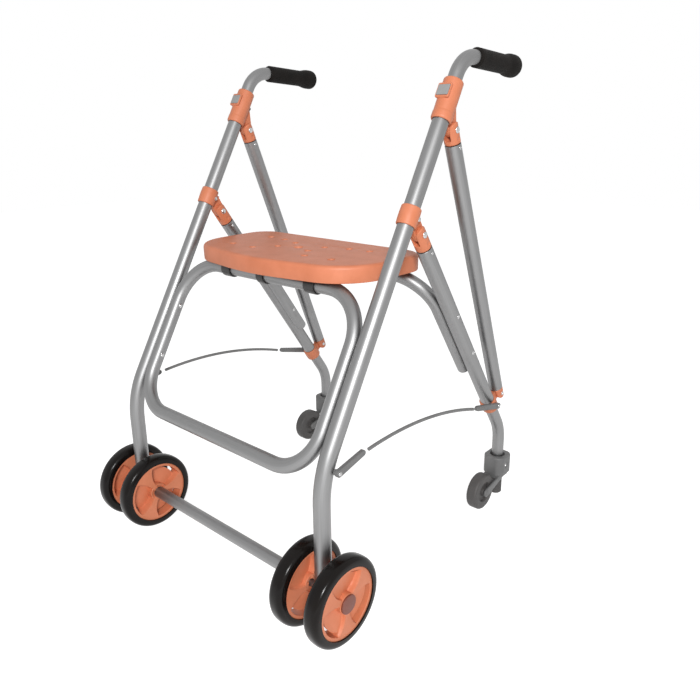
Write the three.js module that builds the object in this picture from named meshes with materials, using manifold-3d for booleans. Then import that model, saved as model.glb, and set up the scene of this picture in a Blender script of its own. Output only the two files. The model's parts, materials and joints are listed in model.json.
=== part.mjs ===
// Folding four-wheeled walking frame with a tip-up seat and pressure brakes on its rear wheels.
// Millimetres, +Z up, +X to the user's left, the front wheels towards -Y. The origin is on the floor, under the
// middle of the frame. Inside this file, lengths along the frame are counted rearwards from the front axle.
import * as THREE from 'three';
import { mergeVertices } from 'three/addons/utils/BufferGeometryUtils.js';
import Module from 'manifold-3d';

const wasm = await Module();
wasm.setup();

// ---------------------------------------------------------------- driving dimensions

const sideSpacing = 516;            // between the middle planes of the two side frames
const seatedGap = 0.3;              // between two pieces that touch or run on each other

const legDiameter = 28;             // front legs, struts and rear legs
const legWall = 1.2;
const legLean = 29.5;               // degrees from upright, above the bend
const legBendHeight = 273.4;        // height of the corner that the front leg's bend rounds
const legBendRadius = 180;
const legLength = 650;              // from the bend's corner to the tube's top end
const legFootBelowAxle = 18;        // how far the front leg reaches past the axle

const bentDiameter = legDiameter - 2 * (legWall + seatedGap);   // handles and rear stems slide in the legs
const bentWall = 1.5;               // loop and hoop are bent from the same tube

const handleInsert = 180;           // how much of the handle tube is inside the leg
const handleCorner = legLength + 65;   // corner of the handle's bend, along the leg
const handleBendRadius = 60;
const handleDroop = 3;              // degrees below level, towards the rear
const gripLength = 136;
const gripFoam = 4;                 // thickness of the foam on the tube
const gripDiameter = bentDiameter + 2 * gripFoam;
const gripKnobProud = 3.5;
const gripKnobDiameter = gripDiameter + 2 * gripKnobProud;
const gripTipDrop = 11;             // how much smaller than the knob the grip's flat end is, in radius
const gripEndWall = 5;
const gripKnobStart = 38;           // back from the grip's end: where it starts to widen,
const gripKnobLength = 24;          // where it has the knob's diameter,
const gripKnobRound = 10;           // and where its end starts to round off

const clampWall = 2.7;
const clampDiameter = legDiameter + 2 * (seatedGap + clampWall);   // outside of every sleeve on a leg
const tongueThickness = 10;
const tongueRootDepth = 1.4;        // where a tongue's flanks run into a sleeve's wall, outside its bore
const tongueRootRadius = 0.8;
const forkSlotClearance = 0.4;      // each side of a tongue

const collarStart = legLength - 55; // lower end of the upper collar, along the leg
const collarLength = 72;
const strutForkRadius = legDiameter / 2 - 1;
const strutForkClearance = 2;       // from the collar's sleeve
const strutPivotAlong = collarStart + 3;   // upper strut pivot, along the leg
const strutPivotBehind = clampDiameter / 2 + strutForkRadius + strutForkClearance;
const collarEarFoot = 13;           // where the ear leaves the collar, above its lower end
const collarEarTop = 46;
const strutForkLength = 24;         // from the pivot to the end of the strut's tube

const buttonWidth = 22;
const buttonHeight = 18;
const buttonProud = 0.8;
const buttonThickness = 3.2;
const buttonAbove = 45;             // middle of the button above the collar's lower end
const buttonBossProud = 3;
const buttonBossRim = 4;
const bossRoot = 0.8;               // where the boss starts, outside the collar's bore
const recessFloor = 1.3;            // wall left under the button's recess

const midClampAlong = 429.6;        // middle of the clamp that carries the rear leg's hinge
const midClampLength = 33;
const midEarFoot = 2;               // the ear starts this far inside the clamp's lower end
const midEarTop = 5;                // and ends this far inside its upper end
const foldPivotAlong = midClampAlong - 14;
const rearForkRadius = legDiameter / 2;
const rearForkClearance = 7;        // from the mid clamp's sleeve
const foldPivotBehind = clampDiameter / 2 + rearForkRadius + rearForkClearance;
const rearLean = 34.3;              // degrees from upright
const rearForkLength = 30;          // from the fold pivot to the end of the rear leg's tube
const rearLegEnd = 449;             // lower end of the rear leg's tube, from the fold pivot
const lowerClampLength = 27;
const lowerArmRoot = 2.2;           // where the clamp's arm starts, outside its bore
const lowerArmRootRadius = 1.2;
const lowerArmInset = 4.5;          // the arm's root stops short of the clamp's ends
const strutFootAlong = rearLegEnd + 17;   // lower strut pivot, along the rear leg from the fold pivot
const strutFootRadius = legDiameter / 2 - 3;
const strutFootClearance = 6;       // from the lower clamp's sleeve
const strutFootBehind = clampDiameter / 2 + strutFootRadius + strutFootClearance;
const strutFootLength = 13;         // from the end of the strut's tube to the pivot

const stemInsert = 110;             // how much of the stem is inside the rear leg
const stemCorner = 551;             // corner of the stem's bend, from the fold pivot
const stemBendRadius = 90;
const stemEnd = 46;                 // height of the stem's lower end

const pinDiameter = 6;
const pinHeadDiameter = 11;
const pinHeadThickness = 2;
const cheekSkin = 3.5;              // how deep a pin that doesn't cross its slot is set in a cheek

const loopTop = 292;                // loop's upper bar, along the leg from its bend's corner
const loopBottom = -8;
const loopTopRadius = 85;
const loopBottomRadius = 75;
const weepHoleDiameter = 5;         // under the loop's lower bar
const hoopTop = 108.2;              // hoop's upper bar, along the rear leg from the fold pivot
const hoopEnd = 359;
const hoopRadius = 75;

const tyreDiameter = 150;
const tyreWidth = 30;
const tyreThickness = 15;
const tyreShoulder = 6.5;           // chamfer of the tyre's edges
const rimThickness = 5;
const wheelLegGap = 9.3;            // between a front leg and the tyre on each side of it
const twinSpacing = legDiameter + tyreWidth + 2 * wheelLegGap;
const hubWidth = tyreWidth - 4;
const bossDiameter = 34;
const spokeCount = 3;
const spokeThickness = 8;
const spokeRootTurn = 0.9;          // half the angle that a spoke takes at the boss and at the rim
const spokeTipTurn = 0.62;
const axleDiameter = 12;
const crossbarDiameter = 22;
const hubCapDiameter = 32;
const hubCapThickness = 3;

const rearWheelDiameter = 76;
const rearWheelWidth = 24;
const rearShoulder = 5.5;           // chamfer of the rear wheel's edges
const rearAxleDiameter = 8;
const forkArmThickness = 4.5;
const forkArmGap = 2;               // between the wheel and each arm
const housingWidth = 48;
const housingDepth = 50;
const rearWheelClearance = 4.7;     // between the rear wheel and the housing's front
const rearWheelLead = rearWheelDiameter / 2 + housingDepth / 2 + rearWheelClearance;   // ahead of the stem
const housingFrontCorner = 16;
const housingRearCorner = 14;
const housingBottom = 57;
const housingHeight = 43;
const housingMouthDepth = 12;
const housingMouthDiameter = bentDiameter + 6;
const yokeThickness = 7;
const yokeFrontInset = 3;           // how far the yoke stops short of the housing's front and rear
const yokeRearInset = 6;
const armRootFront = 8;             // the fork arm's root on the yoke, behind the yoke's front edge
const armRootRear = 20;
const forkEyeRadius = 9;
const rearAxleProud = 1.5;
const footDiameter = bentDiameter + 1;
const footClearance = 8;            // between the brake foot and the floor
const footPlugLength = 15;
const footYokeGap = 1;              // round the foot, where it passes through the yoke

const seatSideGap = 24;             // between the seat and each front leg
const seatWidth = sideSpacing - legDiameter - 2 * seatSideGap;
const seatDepth = 224;
const seatTop = 570;
const seatSkirt = 26;
const seatPlate = 4;
const seatWall = 4;
const seatFrontOverhang = 40;       // ahead of the loop's upper bar
const seatRearCorner = 45;
const seatSideCorner = 95;
const seatNoseRadius = 420;
const seatNoseRise = 26;            // how far the middle of the front edge stands ahead of its sides
const seatNoseShare = 0.35;         // how far ahead of the front edge the nose's corner stands, as a share of that
const seatSideTaper = 7;            // how much narrower each side is at the front
const seatRibThickness = 5;
const seatRibSpots = [80, 150];     // ribs, out from the middle
const drainDiameter = 12;
const drainMiddleDiameter = 18;
const drainMiddle = 116;            // middle drain hole behind the seat's front edge
const drainSpots = [                // other drain holes: out from the middle, behind the middle hole
  [40, -15], [69, -52], [130, -49], [39, 30], [86, 46], [131, 50],
];
const clipSpot = 110;               // seat clips, out from the middle
const clipWidth = 24;
const clipWall = 3;
const clipMouth = 70;               // degrees of the clip's ring that are left open

const stayDiameter = 6;
const stayBlockHeight = 12;
const stayBlockThickness = 8;
const stayBossRadius = 5;
const stayRise = 20;                // height of the stay's arch above its ends
const stayFrontSpot = [16.3, 284];  // front pin: behind the axle's plane, above the floor
const stayRearAlong = strutFootAlong - 4;   // rear pin, along the rear leg from the fold pivot
const stayFrontTip = [55, 13];      // where the rod enters each block, from the block's pin
const stayRearTip = [-82, 21];
const stayArchSteps = 9;

const roundSegments = 16;
const wheelSegments = 24;
const pinSegments = 10;
const outlineSegments = 4;
const bendSteps = 3;

// ---------------------------------------------------------------- derived places

const radians = THREE.MathUtils.degToRad;
const halfSpacing = sideSpacing / 2;
const legRadius = legDiameter / 2;
const bentRadius = bentDiameter / 2;
const clampRadius = clampDiameter / 2;
const legBore = legDiameter - 2 * legWall;
const tyreRadius = tyreDiameter / 2;
const axleHeight = tyreRadius;

// A place in a side frame's plane: how far behind the front axle, and how high.
const place = (behind, height) => new THREE.Vector2(behind, height);
const legUp = place(Math.sin(radians(legLean)), Math.cos(radians(legLean)));
const legBack = place(legUp.y, -legUp.x);
const rearDown = place(Math.sin(radians(rearLean)), -Math.cos(radians(rearLean)));
const rearBack = place(-rearDown.y, rearDown.x);
const fromPlace = (start, direction, along, side, across) =>
  start.clone().addScaledVector(direction, along).addScaledVector(side, across);

const legBend = place(0, legBendHeight);
const onLeg = (along, behind = 0) => fromPlace(legBend, legUp, along, legBack, behind);
const foldPivot = onLeg(foldPivotAlong, foldPivotBehind);
const onRearLeg = (along, behind = 0) => fromPlace(foldPivot, rearDown, along, rearBack, behind);
const strutPivot = onLeg(strutPivotAlong, strutPivotBehind);
const strutFoot = onRearLeg(strutFootAlong, strutFootBehind);
const strutDown = strutFoot.clone().sub(strutPivot).normalize();
const stemBend = onRearLeg(stemCorner);
const rearAxle = place(stemBend.x - rearWheelLead, rearWheelDiameter / 2);
const seatHinge = onLeg(loopTop);
const sidePlaneInset = legRadius + bentRadius + seatedGap;   // from a leg's axis to the tube beside it

// The origin stands under the middle of the frame's length.
const frontReach = tyreRadius;
const rearReach = stemBend.x + housingDepth / 2;
const originShift = (frontReach - rearReach) / 2;

// ---------------------------------------------------------------- solids

function solid(geometry) {
  const bare = geometry.clone();
  bare.deleteAttribute('normal');
  bare.deleteAttribute('uv');
  const merged = mergeVertices(bare, 1e-4);
  return new wasm.Manifold(new wasm.Mesh({
    numProp: 3,
    vertProperties: new Float32Array(merged.attributes.position.array),
    triVerts: new Uint32Array(merged.index.array),
  }));
}

function geometryOf(body) {
  const mesh = body.getMesh();
  const geometry = new THREE.BufferGeometry();
  geometry.setAttribute('position', new THREE.BufferAttribute(new Float32Array(mesh.vertProperties), 3));
  geometry.setIndex(new THREE.BufferAttribute(new Uint32Array(mesh.triVerts), 1));
  geometry.computeVertexNormals();
  return geometry;
}

const join = (...bodies) => bodies.reduce((whole, body) => whole.add(body));
const cut = (body, ...tools) => tools.reduce((left, tool) => left.subtract(tool), body);

// A point of a side frame's plane, moved across by x.
const inSpace = (spot, x = 0) => new THREE.Vector3(x, spot.x, spot.y);

// A plate cut to an outline in a side frame's plane, from one x to another.
function plate(outline, fromX, toX) {
  const geometry = new THREE.ExtrudeGeometry(outline, { depth: toX - fromX, bevelEnabled: false });
  const turned = new THREE.Matrix4().makeBasis(
    new THREE.Vector3(0, 1, 0), new THREE.Vector3(0, 0, 1), new THREE.Vector3(1, 0, 0));
  return geometry.applyMatrix4(turned).translate(fromX, 0, 0);
}

// A disc or rod along X, centred on a place of the side frame's plane.
function rodAcross(spot, radius, fromX, toX, segments = roundSegments) {
  return new THREE.CylinderGeometry(radius, radius, toX - fromX, segments)
    .rotateZ(Math.PI / 2)
    .translate((fromX + toX) / 2, spot.x, spot.y);
}

// A rod in the side frame's plane, between two places of it.
function rodAlong(from, to, radius, segments = roundSegments) {
  const line = inSpace(to).sub(inSpace(from));
  const turn = new THREE.Quaternion().setFromUnitVectors(new THREE.Vector3(0, 1, 0), line.clone().normalize());
  const middle = inSpace(from).addScaledVector(line, 0.5);
  return new THREE.CylinderGeometry(radius, radius, line.length(), segments)
    .applyQuaternion(turn)
    .translate(middle.x, middle.y, middle.z);
}

// A lathe turned about X, from a profile of [x, radius] pairs that closes on itself.
function turnedAcross(profile, segments) {
  const points = profile.map(([x, radius]) => new THREE.Vector2(radius, x));
  return new THREE.LatheGeometry([...points, points[0].clone()], segments).rotateZ(-Math.PI / 2);
}

// Straight runs with an arc at each corner. Its stations stand only at the ends and round the bends.
class BentPath extends THREE.Curve {
  constructor(corners, radii) {
    super();
    const heading = (index) => corners[index + 1].clone().sub(corners[index]).normalize();
    this.stations = [{ point: corners[0], tangent: heading(0) }];
    for (let corner = 1; corner < corners.length - 1; corner += 1) {
      const incoming = heading(corner - 1);
      const outgoing = heading(corner);
      const turn = incoming.angleTo(outgoing);
      const radius = radii[corner - 1];
      const inward = outgoing.clone().addScaledVector(incoming, -incoming.dot(outgoing)).normalize();
      const centre = corners[corner].clone()
        .addScaledVector(incoming, -radius * Math.tan(turn / 2))
        .addScaledVector(inward, radius);
      for (let step = 0; step <= bendSteps; step += 1) {
        const angle = turn * step / bendSteps;
        const point = centre.clone()
          .addScaledVector(inward, -radius * Math.cos(angle))
          .addScaledVector(incoming, radius * Math.sin(angle));
        const tangent = incoming.clone().multiplyScalar(Math.cos(angle))
          .addScaledVector(inward, Math.sin(angle));
        this.stations.push({ point, tangent });
      }
    }
    this.stations.push({ point: corners.at(-1), tangent: heading(corners.length - 2) });
  }

  station(share) {
    return this.stations[Math.round(share * (this.stations.length - 1))];
  }

  getPointAt(share) {
    return this.station(share).point.clone();
  }

  getTangentAt(share) {
    return this.station(share).tangent.clone();
  }
}

function ring(outerRadius, innerRadius) {
  const outline = new THREE.Shape().absarc(0, 0, outerRadius, 0, 2 * Math.PI);
  outline.holes.push(new THREE.Path().absarc(0, 0, innerRadius, 0, 2 * Math.PI));
  return outline;
}

function bentTube(corners, radii, diameter, wall) {
  const path = new BentPath(corners, radii);
  return new THREE.ExtrudeGeometry(ring(diameter / 2, diameter / 2 - wall), {
    steps: path.stations.length - 1, extrudePath: path, curveSegments: roundSegments / 2,
  });
}

// An outline whose corners [across, up, radius] are rounded by arcs.
function roundedOutline(corners) {
  const outline = new THREE.Shape();
  const count = corners.length;
  corners.forEach(([across, up, radius], index) => {
    const corner = new THREE.Vector2(across, up);
    const before = new THREE.Vector2(...corners[(index + count - 1) % count]).sub(corner).normalize();
    const after = new THREE.Vector2(...corners[(index + 1) % count]).sub(corner).normalize();
    const halfAngle = Math.acos(THREE.MathUtils.clamp(before.dot(after), -1, 1)) / 2;
    const middle = before.clone().add(after).normalize();
    const centre = corner.clone().addScaledVector(middle, radius / Math.sin(halfAngle));
    const start = corner.clone().addScaledVector(before, radius / Math.tan(halfAngle)).sub(centre);
    const end = corner.clone().addScaledVector(after, radius / Math.tan(halfAngle)).sub(centre);
    const clockwise = start.cross(end) < 0;
    outline.absarc(centre.x, centre.y, radius, start.angle(), end.angle(), clockwise);
  });
  return outline;
}

// An outline that hugs discs [place, radius] in turn, as a belt round them does.
function beltOutline(discs) {
  const points = discs.flatMap(([spot, radius]) => Array.from({ length: roundSegments }, (unused, index) => {
    const angle = 2 * Math.PI * index / roundSegments;
    return new THREE.Vector2(spot.x + radius * Math.cos(angle), spot.y + radius * Math.sin(angle));
  }));
  points.sort((a, b) => a.x - b.x || a.y - b.y);
  const half = (sorted) => sorted.reduce((chain, point) => {
    while (chain.length > 1) {
      const [a, b] = chain.slice(-2);
      if (b.clone().sub(a).cross(point.clone().sub(b)) > 1e-9) break;
      chain.pop();
    }
    return [...chain, point];
  }, []);
  return new THREE.Shape([...half(points).slice(0, -1), ...half([...points].reverse()).slice(0, -1)]);
}

// ---------------------------------------------------------------- materials and scene

const finishes = {
  tube: { color: 0xb9bbbd, metalness: 0.9, roughness: 0.35 },
  steel: { color: 0x8f9193, metalness: 0.9, roughness: 0.3 },
  orange: { color: 0xc8643c, metalness: 0, roughness: 0.55 },
  cap: { color: 0x7c3424, metalness: 0, roughness: 0.5 },
  foam: { color: 0x17120f, metalness: 0, roughness: 0.95 },
  tyre: { color: 0x141414, metalness: 0, roughness: 0.3 },
  grey: { color: 0x6f6f70, metalness: 0, roughness: 0.6 },
  button: { color: 0xa9abad, metalness: 0.2, roughness: 0.4 },
  black: { color: 0x1c1a1a, metalness: 0, roughness: 0.6 },
};

const frame = new THREE.Group();
frame.position.y = originShift;

function addPiece(parent, name, finish, geometry) {
  const mesh = new THREE.Mesh(geometry, new THREE.MeshStandardMaterial(finishes[finish]));
  mesh.name = name;
  parent.add(mesh);
}

// ---------------------------------------------------------------- fittings shared by the joints

const slotHalf = tongueThickness / 2 + forkSlotClearance;
const pinHole = (spot) => solid(rodAcross(spot, pinDiameter / 2 + seatedGap, -clampRadius, clampRadius, pinSegments));

// A sleeve round a tube, between two places on the tube's axis.
const sleeve = (from, to, boreRadius) => cut(
  solid(rodAlong(from, to, clampRadius)),
  solid(rodAlong(from.clone().lerp(to, -0.1), from.clone().lerp(to, 1.1), boreRadius)));

// A tongue from a sleeve's wall out to a pivot, with the pivot's hole.
function tongue(pivot, radius, roots) {
  const outline = beltOutline([[pivot, radius], ...roots]);
  return cut(solid(plate(outline, -tongueThickness / 2, tongueThickness / 2)), pinHole(pivot));
}

// The moulded end of a tube: a plug in the tube, a body flush with it, and two cheeks round a pivot.
// The slot between the cheeks reaches slotDepth past the pivot.
function forkEnd(pivot, tubeEnd, radius, slotDepth) {
  const down = tubeEnd.clone().sub(pivot).normalize();
  const beyond = pivot.clone().addScaledVector(down, -radius - 1);
  const plugEnd = tubeEnd.clone().addScaledVector(down, legRadius);
  const bodyEnd = tubeEnd.clone().addScaledVector(down, -seatedGap);
  const profile = beltOutline([[pivot, radius], [bodyEnd.clone().addScaledVector(down, legRadius), legRadius]]);
  const body = solid(rodAlong(beyond, bodyEnd, legRadius)).intersect(solid(plate(profile, -legRadius, legRadius)));
  const plug = solid(rodAlong(bodyEnd.clone().addScaledVector(down, -1), plugEnd, legBore / 2 - seatedGap));
  const slotEnd = pivot.clone().addScaledVector(down, slotDepth);
  const across = place(-down.y, down.x).multiplyScalar(2 * legRadius);
  const slotOutline = new THREE.Shape([
    beyond.clone().add(across), beyond.clone().sub(across), slotEnd.clone().sub(across), slotEnd.clone().add(across),
  ]);
  return cut(join(body, plug), solid(plate(slotOutline, -slotHalf, slotHalf)));
}

const pivotPin = (spot) => {
  const shaftHalf = legRadius + seatedGap;
  const heads = [-1, 1].map((side) => solid(rodAcross(
    spot, pinHeadDiameter / 2,
    side > 0 ? shaftHalf : -shaftHalf - pinHeadThickness,
    side > 0 ? shaftHalf + pinHeadThickness : -shaftHalf, pinSegments)));
  const shaft = solid(rodAcross(spot, pinDiameter / 2, -shaftHalf - 1, shaftHalf + 1, pinSegments));
  return geometryOf(join(shaft, ...heads));
};

// ---------------------------------------------------------------- side frames, built about X = 0

function frontLeg() {
  const tube = bentTube(
    [inSpace(place(0, axleHeight - legFootBelowAxle)), inSpace(legBend), inSpace(onLeg(legLength))],
    [legBendRadius], legDiameter, legWall);
  const axleHole = rodAcross(place(0, axleHeight), axleDiameter / 2 + seatedGap, -legDiameter, legDiameter);
  return geometryOf(cut(solid(tube), solid(axleHole)));
}

const handleHeading = place(Math.cos(radians(handleDroop)), -Math.sin(radians(handleDroop)));
const handleTurn = Math.PI / 2 - radians(legLean) + radians(handleDroop);
const gripStart = handleBendRadius * Math.tan(handleTurn / 2);
const onHandle = (along) => onLeg(handleCorner).addScaledVector(handleHeading, along);

function handleTube() {
  return bentTube(
    [inSpace(onLeg(legLength - handleInsert)), inSpace(onLeg(handleCorner)),
      inSpace(onHandle(gripStart + gripLength - gripEndWall - seatedGap))],
    [handleBendRadius], bentDiameter, bentWall);
}

function grip() {
  const outer = gripDiameter / 2;
  const knob = gripKnobDiameter / 2;
  const bore = bentRadius + seatedGap;
  const profile = [
    [0, bore], [0, outer], [gripLength - gripKnobStart, outer], [gripLength - gripKnobLength, knob],
    [gripLength - gripKnobRound, knob], [gripLength, knob - gripTipDrop], [gripLength, 0],
    [gripLength - gripEndWall, 0], [gripLength - gripEndWall, bore],
  ].map(([x, radius]) => new THREE.Vector2(radius, x));
  const start = inSpace(onHandle(gripStart));
  return new THREE.LatheGeometry([...profile, profile[0].clone()], roundSegments)
    .applyQuaternion(new THREE.Quaternion().setFromUnitVectors(
      new THREE.Vector3(0, 1, 0), inSpace(handleHeading)))
    .translate(start.x, start.y, start.z);
}

const buttonMiddle = collarStart + buttonAbove;
const bossFace = clampRadius + buttonBossProud;

// A block on the front of the leg: along the leg, ahead of its axis, and across.
function blockOnLeg(alongFrom, alongTo, aheadFrom, aheadTo, halfWidth) {
  const outline = new THREE.Shape([
    onLeg(alongFrom, -aheadFrom), onLeg(alongFrom, -aheadTo), onLeg(alongTo, -aheadTo), onLeg(alongTo, -aheadFrom),
  ]);
  return solid(plate(outline, -halfWidth, halfWidth));
}

function upperCollar() {
  const boreRadius = legRadius + seatedGap;
  const body = sleeve(onLeg(collarStart), onLeg(collarStart + collarLength), boreRadius);
  const bossHalf = buttonHeight / 2 + buttonBossRim;
  const boss = cut(
    blockOnLeg(buttonMiddle - bossHalf, buttonMiddle + bossHalf, boreRadius + bossRoot, bossFace,
      buttonWidth / 2 + buttonBossRim / 2),
    solid(rodAlong(onLeg(collarStart), onLeg(collarStart + collarLength), boreRadius)));
  const recess = blockOnLeg(
    buttonMiddle - buttonHeight / 2 - seatedGap, buttonMiddle + buttonHeight / 2 + seatedGap,
    boreRadius + recessFloor, bossFace + 1, buttonWidth / 2 + seatedGap);
  const root = boreRadius + tongueRootDepth;
  const ear = tongue(strutPivot, strutForkRadius - 1.5, [
    [onLeg(collarStart + collarEarFoot, root), tongueRootRadius],
    [onLeg(collarStart + collarEarTop, root), tongueRootRadius]]);
  return geometryOf(join(cut(join(body, boss), recess), ear));
}

function latchButton() {
  const face = bossFace + buttonProud;
  return geometryOf(blockOnLeg(
    buttonMiddle - buttonHeight / 2, buttonMiddle + buttonHeight / 2, face - buttonThickness, face, buttonWidth / 2));
}

function midClamp() {
  const boreRadius = legRadius + seatedGap;
  const half = midClampLength / 2;
  const body = sleeve(onLeg(midClampAlong - half), onLeg(midClampAlong + half), boreRadius);
  const root = boreRadius + tongueRootDepth;
  const ear = tongue(foldPivot, rearForkRadius - 2, [
    [onLeg(midClampAlong - half + midEarFoot, root), tongueRootRadius],
    [onLeg(midClampAlong + half - midEarTop, root), tongueRootRadius]]);
  return geometryOf(join(body, ear));
}

const strutTubeStart = strutPivot.clone().addScaledVector(strutDown, strutForkLength);
const strutTubeEnd = strutFoot.clone().addScaledVector(strutDown, -strutFootLength);

const straightTube = (from, to) => new THREE.ExtrudeGeometry(ring(legRadius, legRadius - legWall), {
  steps: 1, extrudePath: new THREE.LineCurve3(inSpace(from), inSpace(to)), curveSegments: roundSegments / 2,
});

function strutTopFork() {
  const body = forkEnd(strutPivot, strutTubeStart, strutForkRadius, strutForkRadius + 3);
  return geometryOf(cut(body, pinHole(strutPivot)));
}

// The lower pivot's pin ends in the cheeks, so that the tongue between them is free to slide.
function strutLowerEnd() {
  const body = forkEnd(strutFoot, strutTubeEnd, strutFootRadius, strutFootRadius + 2);
  const heads = [-1, 1].map((side) => solid(rodAcross(
    strutFoot, pinHeadDiameter / 2,
    side > 0 ? legRadius - cheekSkin : -legRadius - pinHeadThickness,
    side > 0 ? legRadius + pinHeadThickness : cheekSkin - legRadius, pinSegments)));
  return geometryOf(join(body, ...heads));
}

function rearLegFork() {
  const body = forkEnd(foldPivot, onRearLeg(rearForkLength), rearForkRadius, rearForkRadius + 2);
  return geometryOf(cut(body, pinHole(foldPivot)));
}

function lowerClamp() {
  const from = rearLegEnd + seatedGap;
  const body = sleeve(onRearLeg(from), onRearLeg(from + lowerClampLength), bentRadius + seatedGap);
  const root = bentRadius + seatedGap + lowerArmRoot;
  const outline = beltOutline([
    [strutFoot, strutFootRadius - 2.5],
    [onRearLeg(from + lowerArmInset, root), lowerArmRootRadius],
    [onRearLeg(from + lowerClampLength - lowerArmInset, root), lowerArmRootRadius]]);
  return geometryOf(join(body, solid(plate(outline, -tongueThickness / 2, tongueThickness / 2))));
}

function rearStem() {
  return bentTube(
    [inSpace(onRearLeg(rearLegEnd - stemInsert)), inSpace(stemBend), inSpace(place(stemBend.x, stemEnd))],
    [stemBendRadius], bentDiameter, bentWall);
}

// ---------------------------------------------------------------- rear wheels and pressure brakes

// An upright disc or rod round the stem.
const rodUp = (radius, from, to, segments = roundSegments) =>
  rodAlong(place(stemBend.x, from), place(stemBend.x, to), radius, segments);

function brakeHousing() {
  const top = housingBottom + housingHeight;
  const halfWidth = housingWidth / 2;
  const halfDepth = housingDepth / 2;
  const plan = roundedOutline([
    [-halfWidth, -halfDepth, housingFrontCorner], [halfWidth, -halfDepth, housingFrontCorner],
    [halfWidth, halfDepth, housingRearCorner], [-halfWidth, halfDepth, housingRearCorner],
  ]);
  const block = new THREE.ExtrudeGeometry(plan, { depth: housingHeight, bevelEnabled: false, curveSegments: 3 })
    .translate(0, stemBend.x, housingBottom);
  return geometryOf(cut(
    solid(block),
    solid(rodUp(bentRadius + seatedGap, housingBottom - 1, top + 1)),
    solid(rodUp(housingMouthDiameter / 2, top - housingMouthDepth, top + 1))));
}

const armInner = rearWheelWidth / 2 + forkArmGap;
const armOuter = armInner + forkArmThickness;

function wheelFork() {
  const yokeTop = housingBottom - seatedGap;
  const yokeRear = stemBend.x + housingDepth / 2 - yokeRearInset;
  const yokeFront = stemBend.x - housingDepth / 2 + yokeFrontInset;
  const rectangle = (behindFrom, behindTo, low, high) => new THREE.Shape([
    place(behindFrom, low), place(behindTo, low), place(behindTo, high), place(behindFrom, high)]);
  const yoke = solid(plate(rectangle(yokeFront, yokeRear, yokeTop - yokeThickness, yokeTop), -armOuter, armOuter));
  const arm = beltOutline([
    [rearAxle, forkEyeRadius], [place(yokeFront + armRootFront, yokeTop - yokeThickness / 2), yokeThickness / 2],
    [place(yokeFront + armRootRear, yokeTop - yokeThickness / 2), yokeThickness / 2]]);
  const arms = [armInner, -armOuter].map((fromX) => solid(plate(arm, fromX, fromX + forkArmThickness)));
  const axle = solid(rodAcross(rearAxle, rearAxleDiameter / 2, -armOuter - rearAxleProud, armOuter + rearAxleProud));
  return geometryOf(cut(
    join(yoke, ...arms, axle), solid(rodUp(footDiameter / 2 + footYokeGap, yokeTop - 2 * yokeThickness, yokeTop + 1))));
}

function brakeFoot() {
  const foot = solid(rodUp(footDiameter / 2, footClearance, stemEnd - seatedGap));
  const plug = solid(rodUp(bentRadius - bentWall - seatedGap, stemEnd - 2, stemEnd + footPlugLength));
  return geometryOf(join(foot, plug));
}

function rearWheel() {
  const half = rearWheelWidth / 2;
  const radius = rearWheelDiameter / 2;
  const bore = rearAxleDiameter / 2 + seatedGap;
  return turnedAcross([
    [-half, bore], [-half, radius - rearShoulder], [rearShoulder - half, radius],
    [half - rearShoulder, radius], [half, radius - rearShoulder], [half, bore],
  ], wheelSegments);
}

// ---------------------------------------------------------------- stays

const stayPlane = clampRadius + seatedGap + stayBlockThickness / 2;   // out from the side frame's plane
const stayFront = place(...stayFrontSpot);
const stayRear = onRearLeg(stayRearAlong);
const stayStart = stayFront.clone().add(place(...stayFrontTip));
const stayEnd = stayRear.clone().add(place(...stayRearTip));

// A block round the stay's end, pinned to the side frame at its other end.
function stayBlock(pin, tip, out, wallReach) {
  const outline = beltOutline([[pin, stayBlockHeight / 2], [tip, stayBlockHeight / 2 - 1]]);
  const half = stayBlockThickness / 2;
  const block = solid(plate(outline, out * stayPlane - half, out * stayPlane + half));
  const inner = out > 0 ? wallReach : half - stayPlane;
  const outer = out > 0 ? stayPlane - half : -wallReach;
  return geometryOf(join(block, solid(rodAcross(
    pin, stayBossRadius, inner - (out > 0 ? 0 : 1), outer + (out > 0 ? 1 : 0), pinSegments))));
}

// The rod rises from block to block along a parabola.
function stayRod(out) {
  const heading = stayEnd.clone().sub(stayStart);
  const inset = (stayBlockHeight / 2 - 1 + 2 * seatedGap) / heading.length();
  const stations = Array.from({ length: stayArchSteps + 1 }, (unused, index) => {
    const share = THREE.MathUtils.lerp(inset, 1 - inset, index / stayArchSteps);
    const spot = stayStart.clone().lerp(stayEnd, share);
    spot.y += 4 * stayRise * (share - inset) * (1 - inset - share);
    return inSpace(spot, out * stayPlane);
  });
  return new THREE.ExtrudeGeometry(new THREE.Shape().absarc(0, 0, stayDiameter / 2, 0, 2 * Math.PI), {
    steps: stayArchSteps, extrudePath: new THREE.CatmullRomCurve3(stations), curveSegments: 4,
  });
}

// ---------------------------------------------------------------- front wheels

const rimRadius = tyreRadius - tyreThickness - seatedGap;

function tyre() {
  const half = tyreWidth / 2;
  const inner = tyreRadius - tyreThickness;
  return turnedAcross([
    [-half, inner], [-half, tyreRadius - tyreShoulder], [tyreShoulder - half, tyreRadius],
    [half - tyreShoulder, tyreRadius], [half, tyreRadius - tyreShoulder], [half, inner],
  ], wheelSegments);
}

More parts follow.
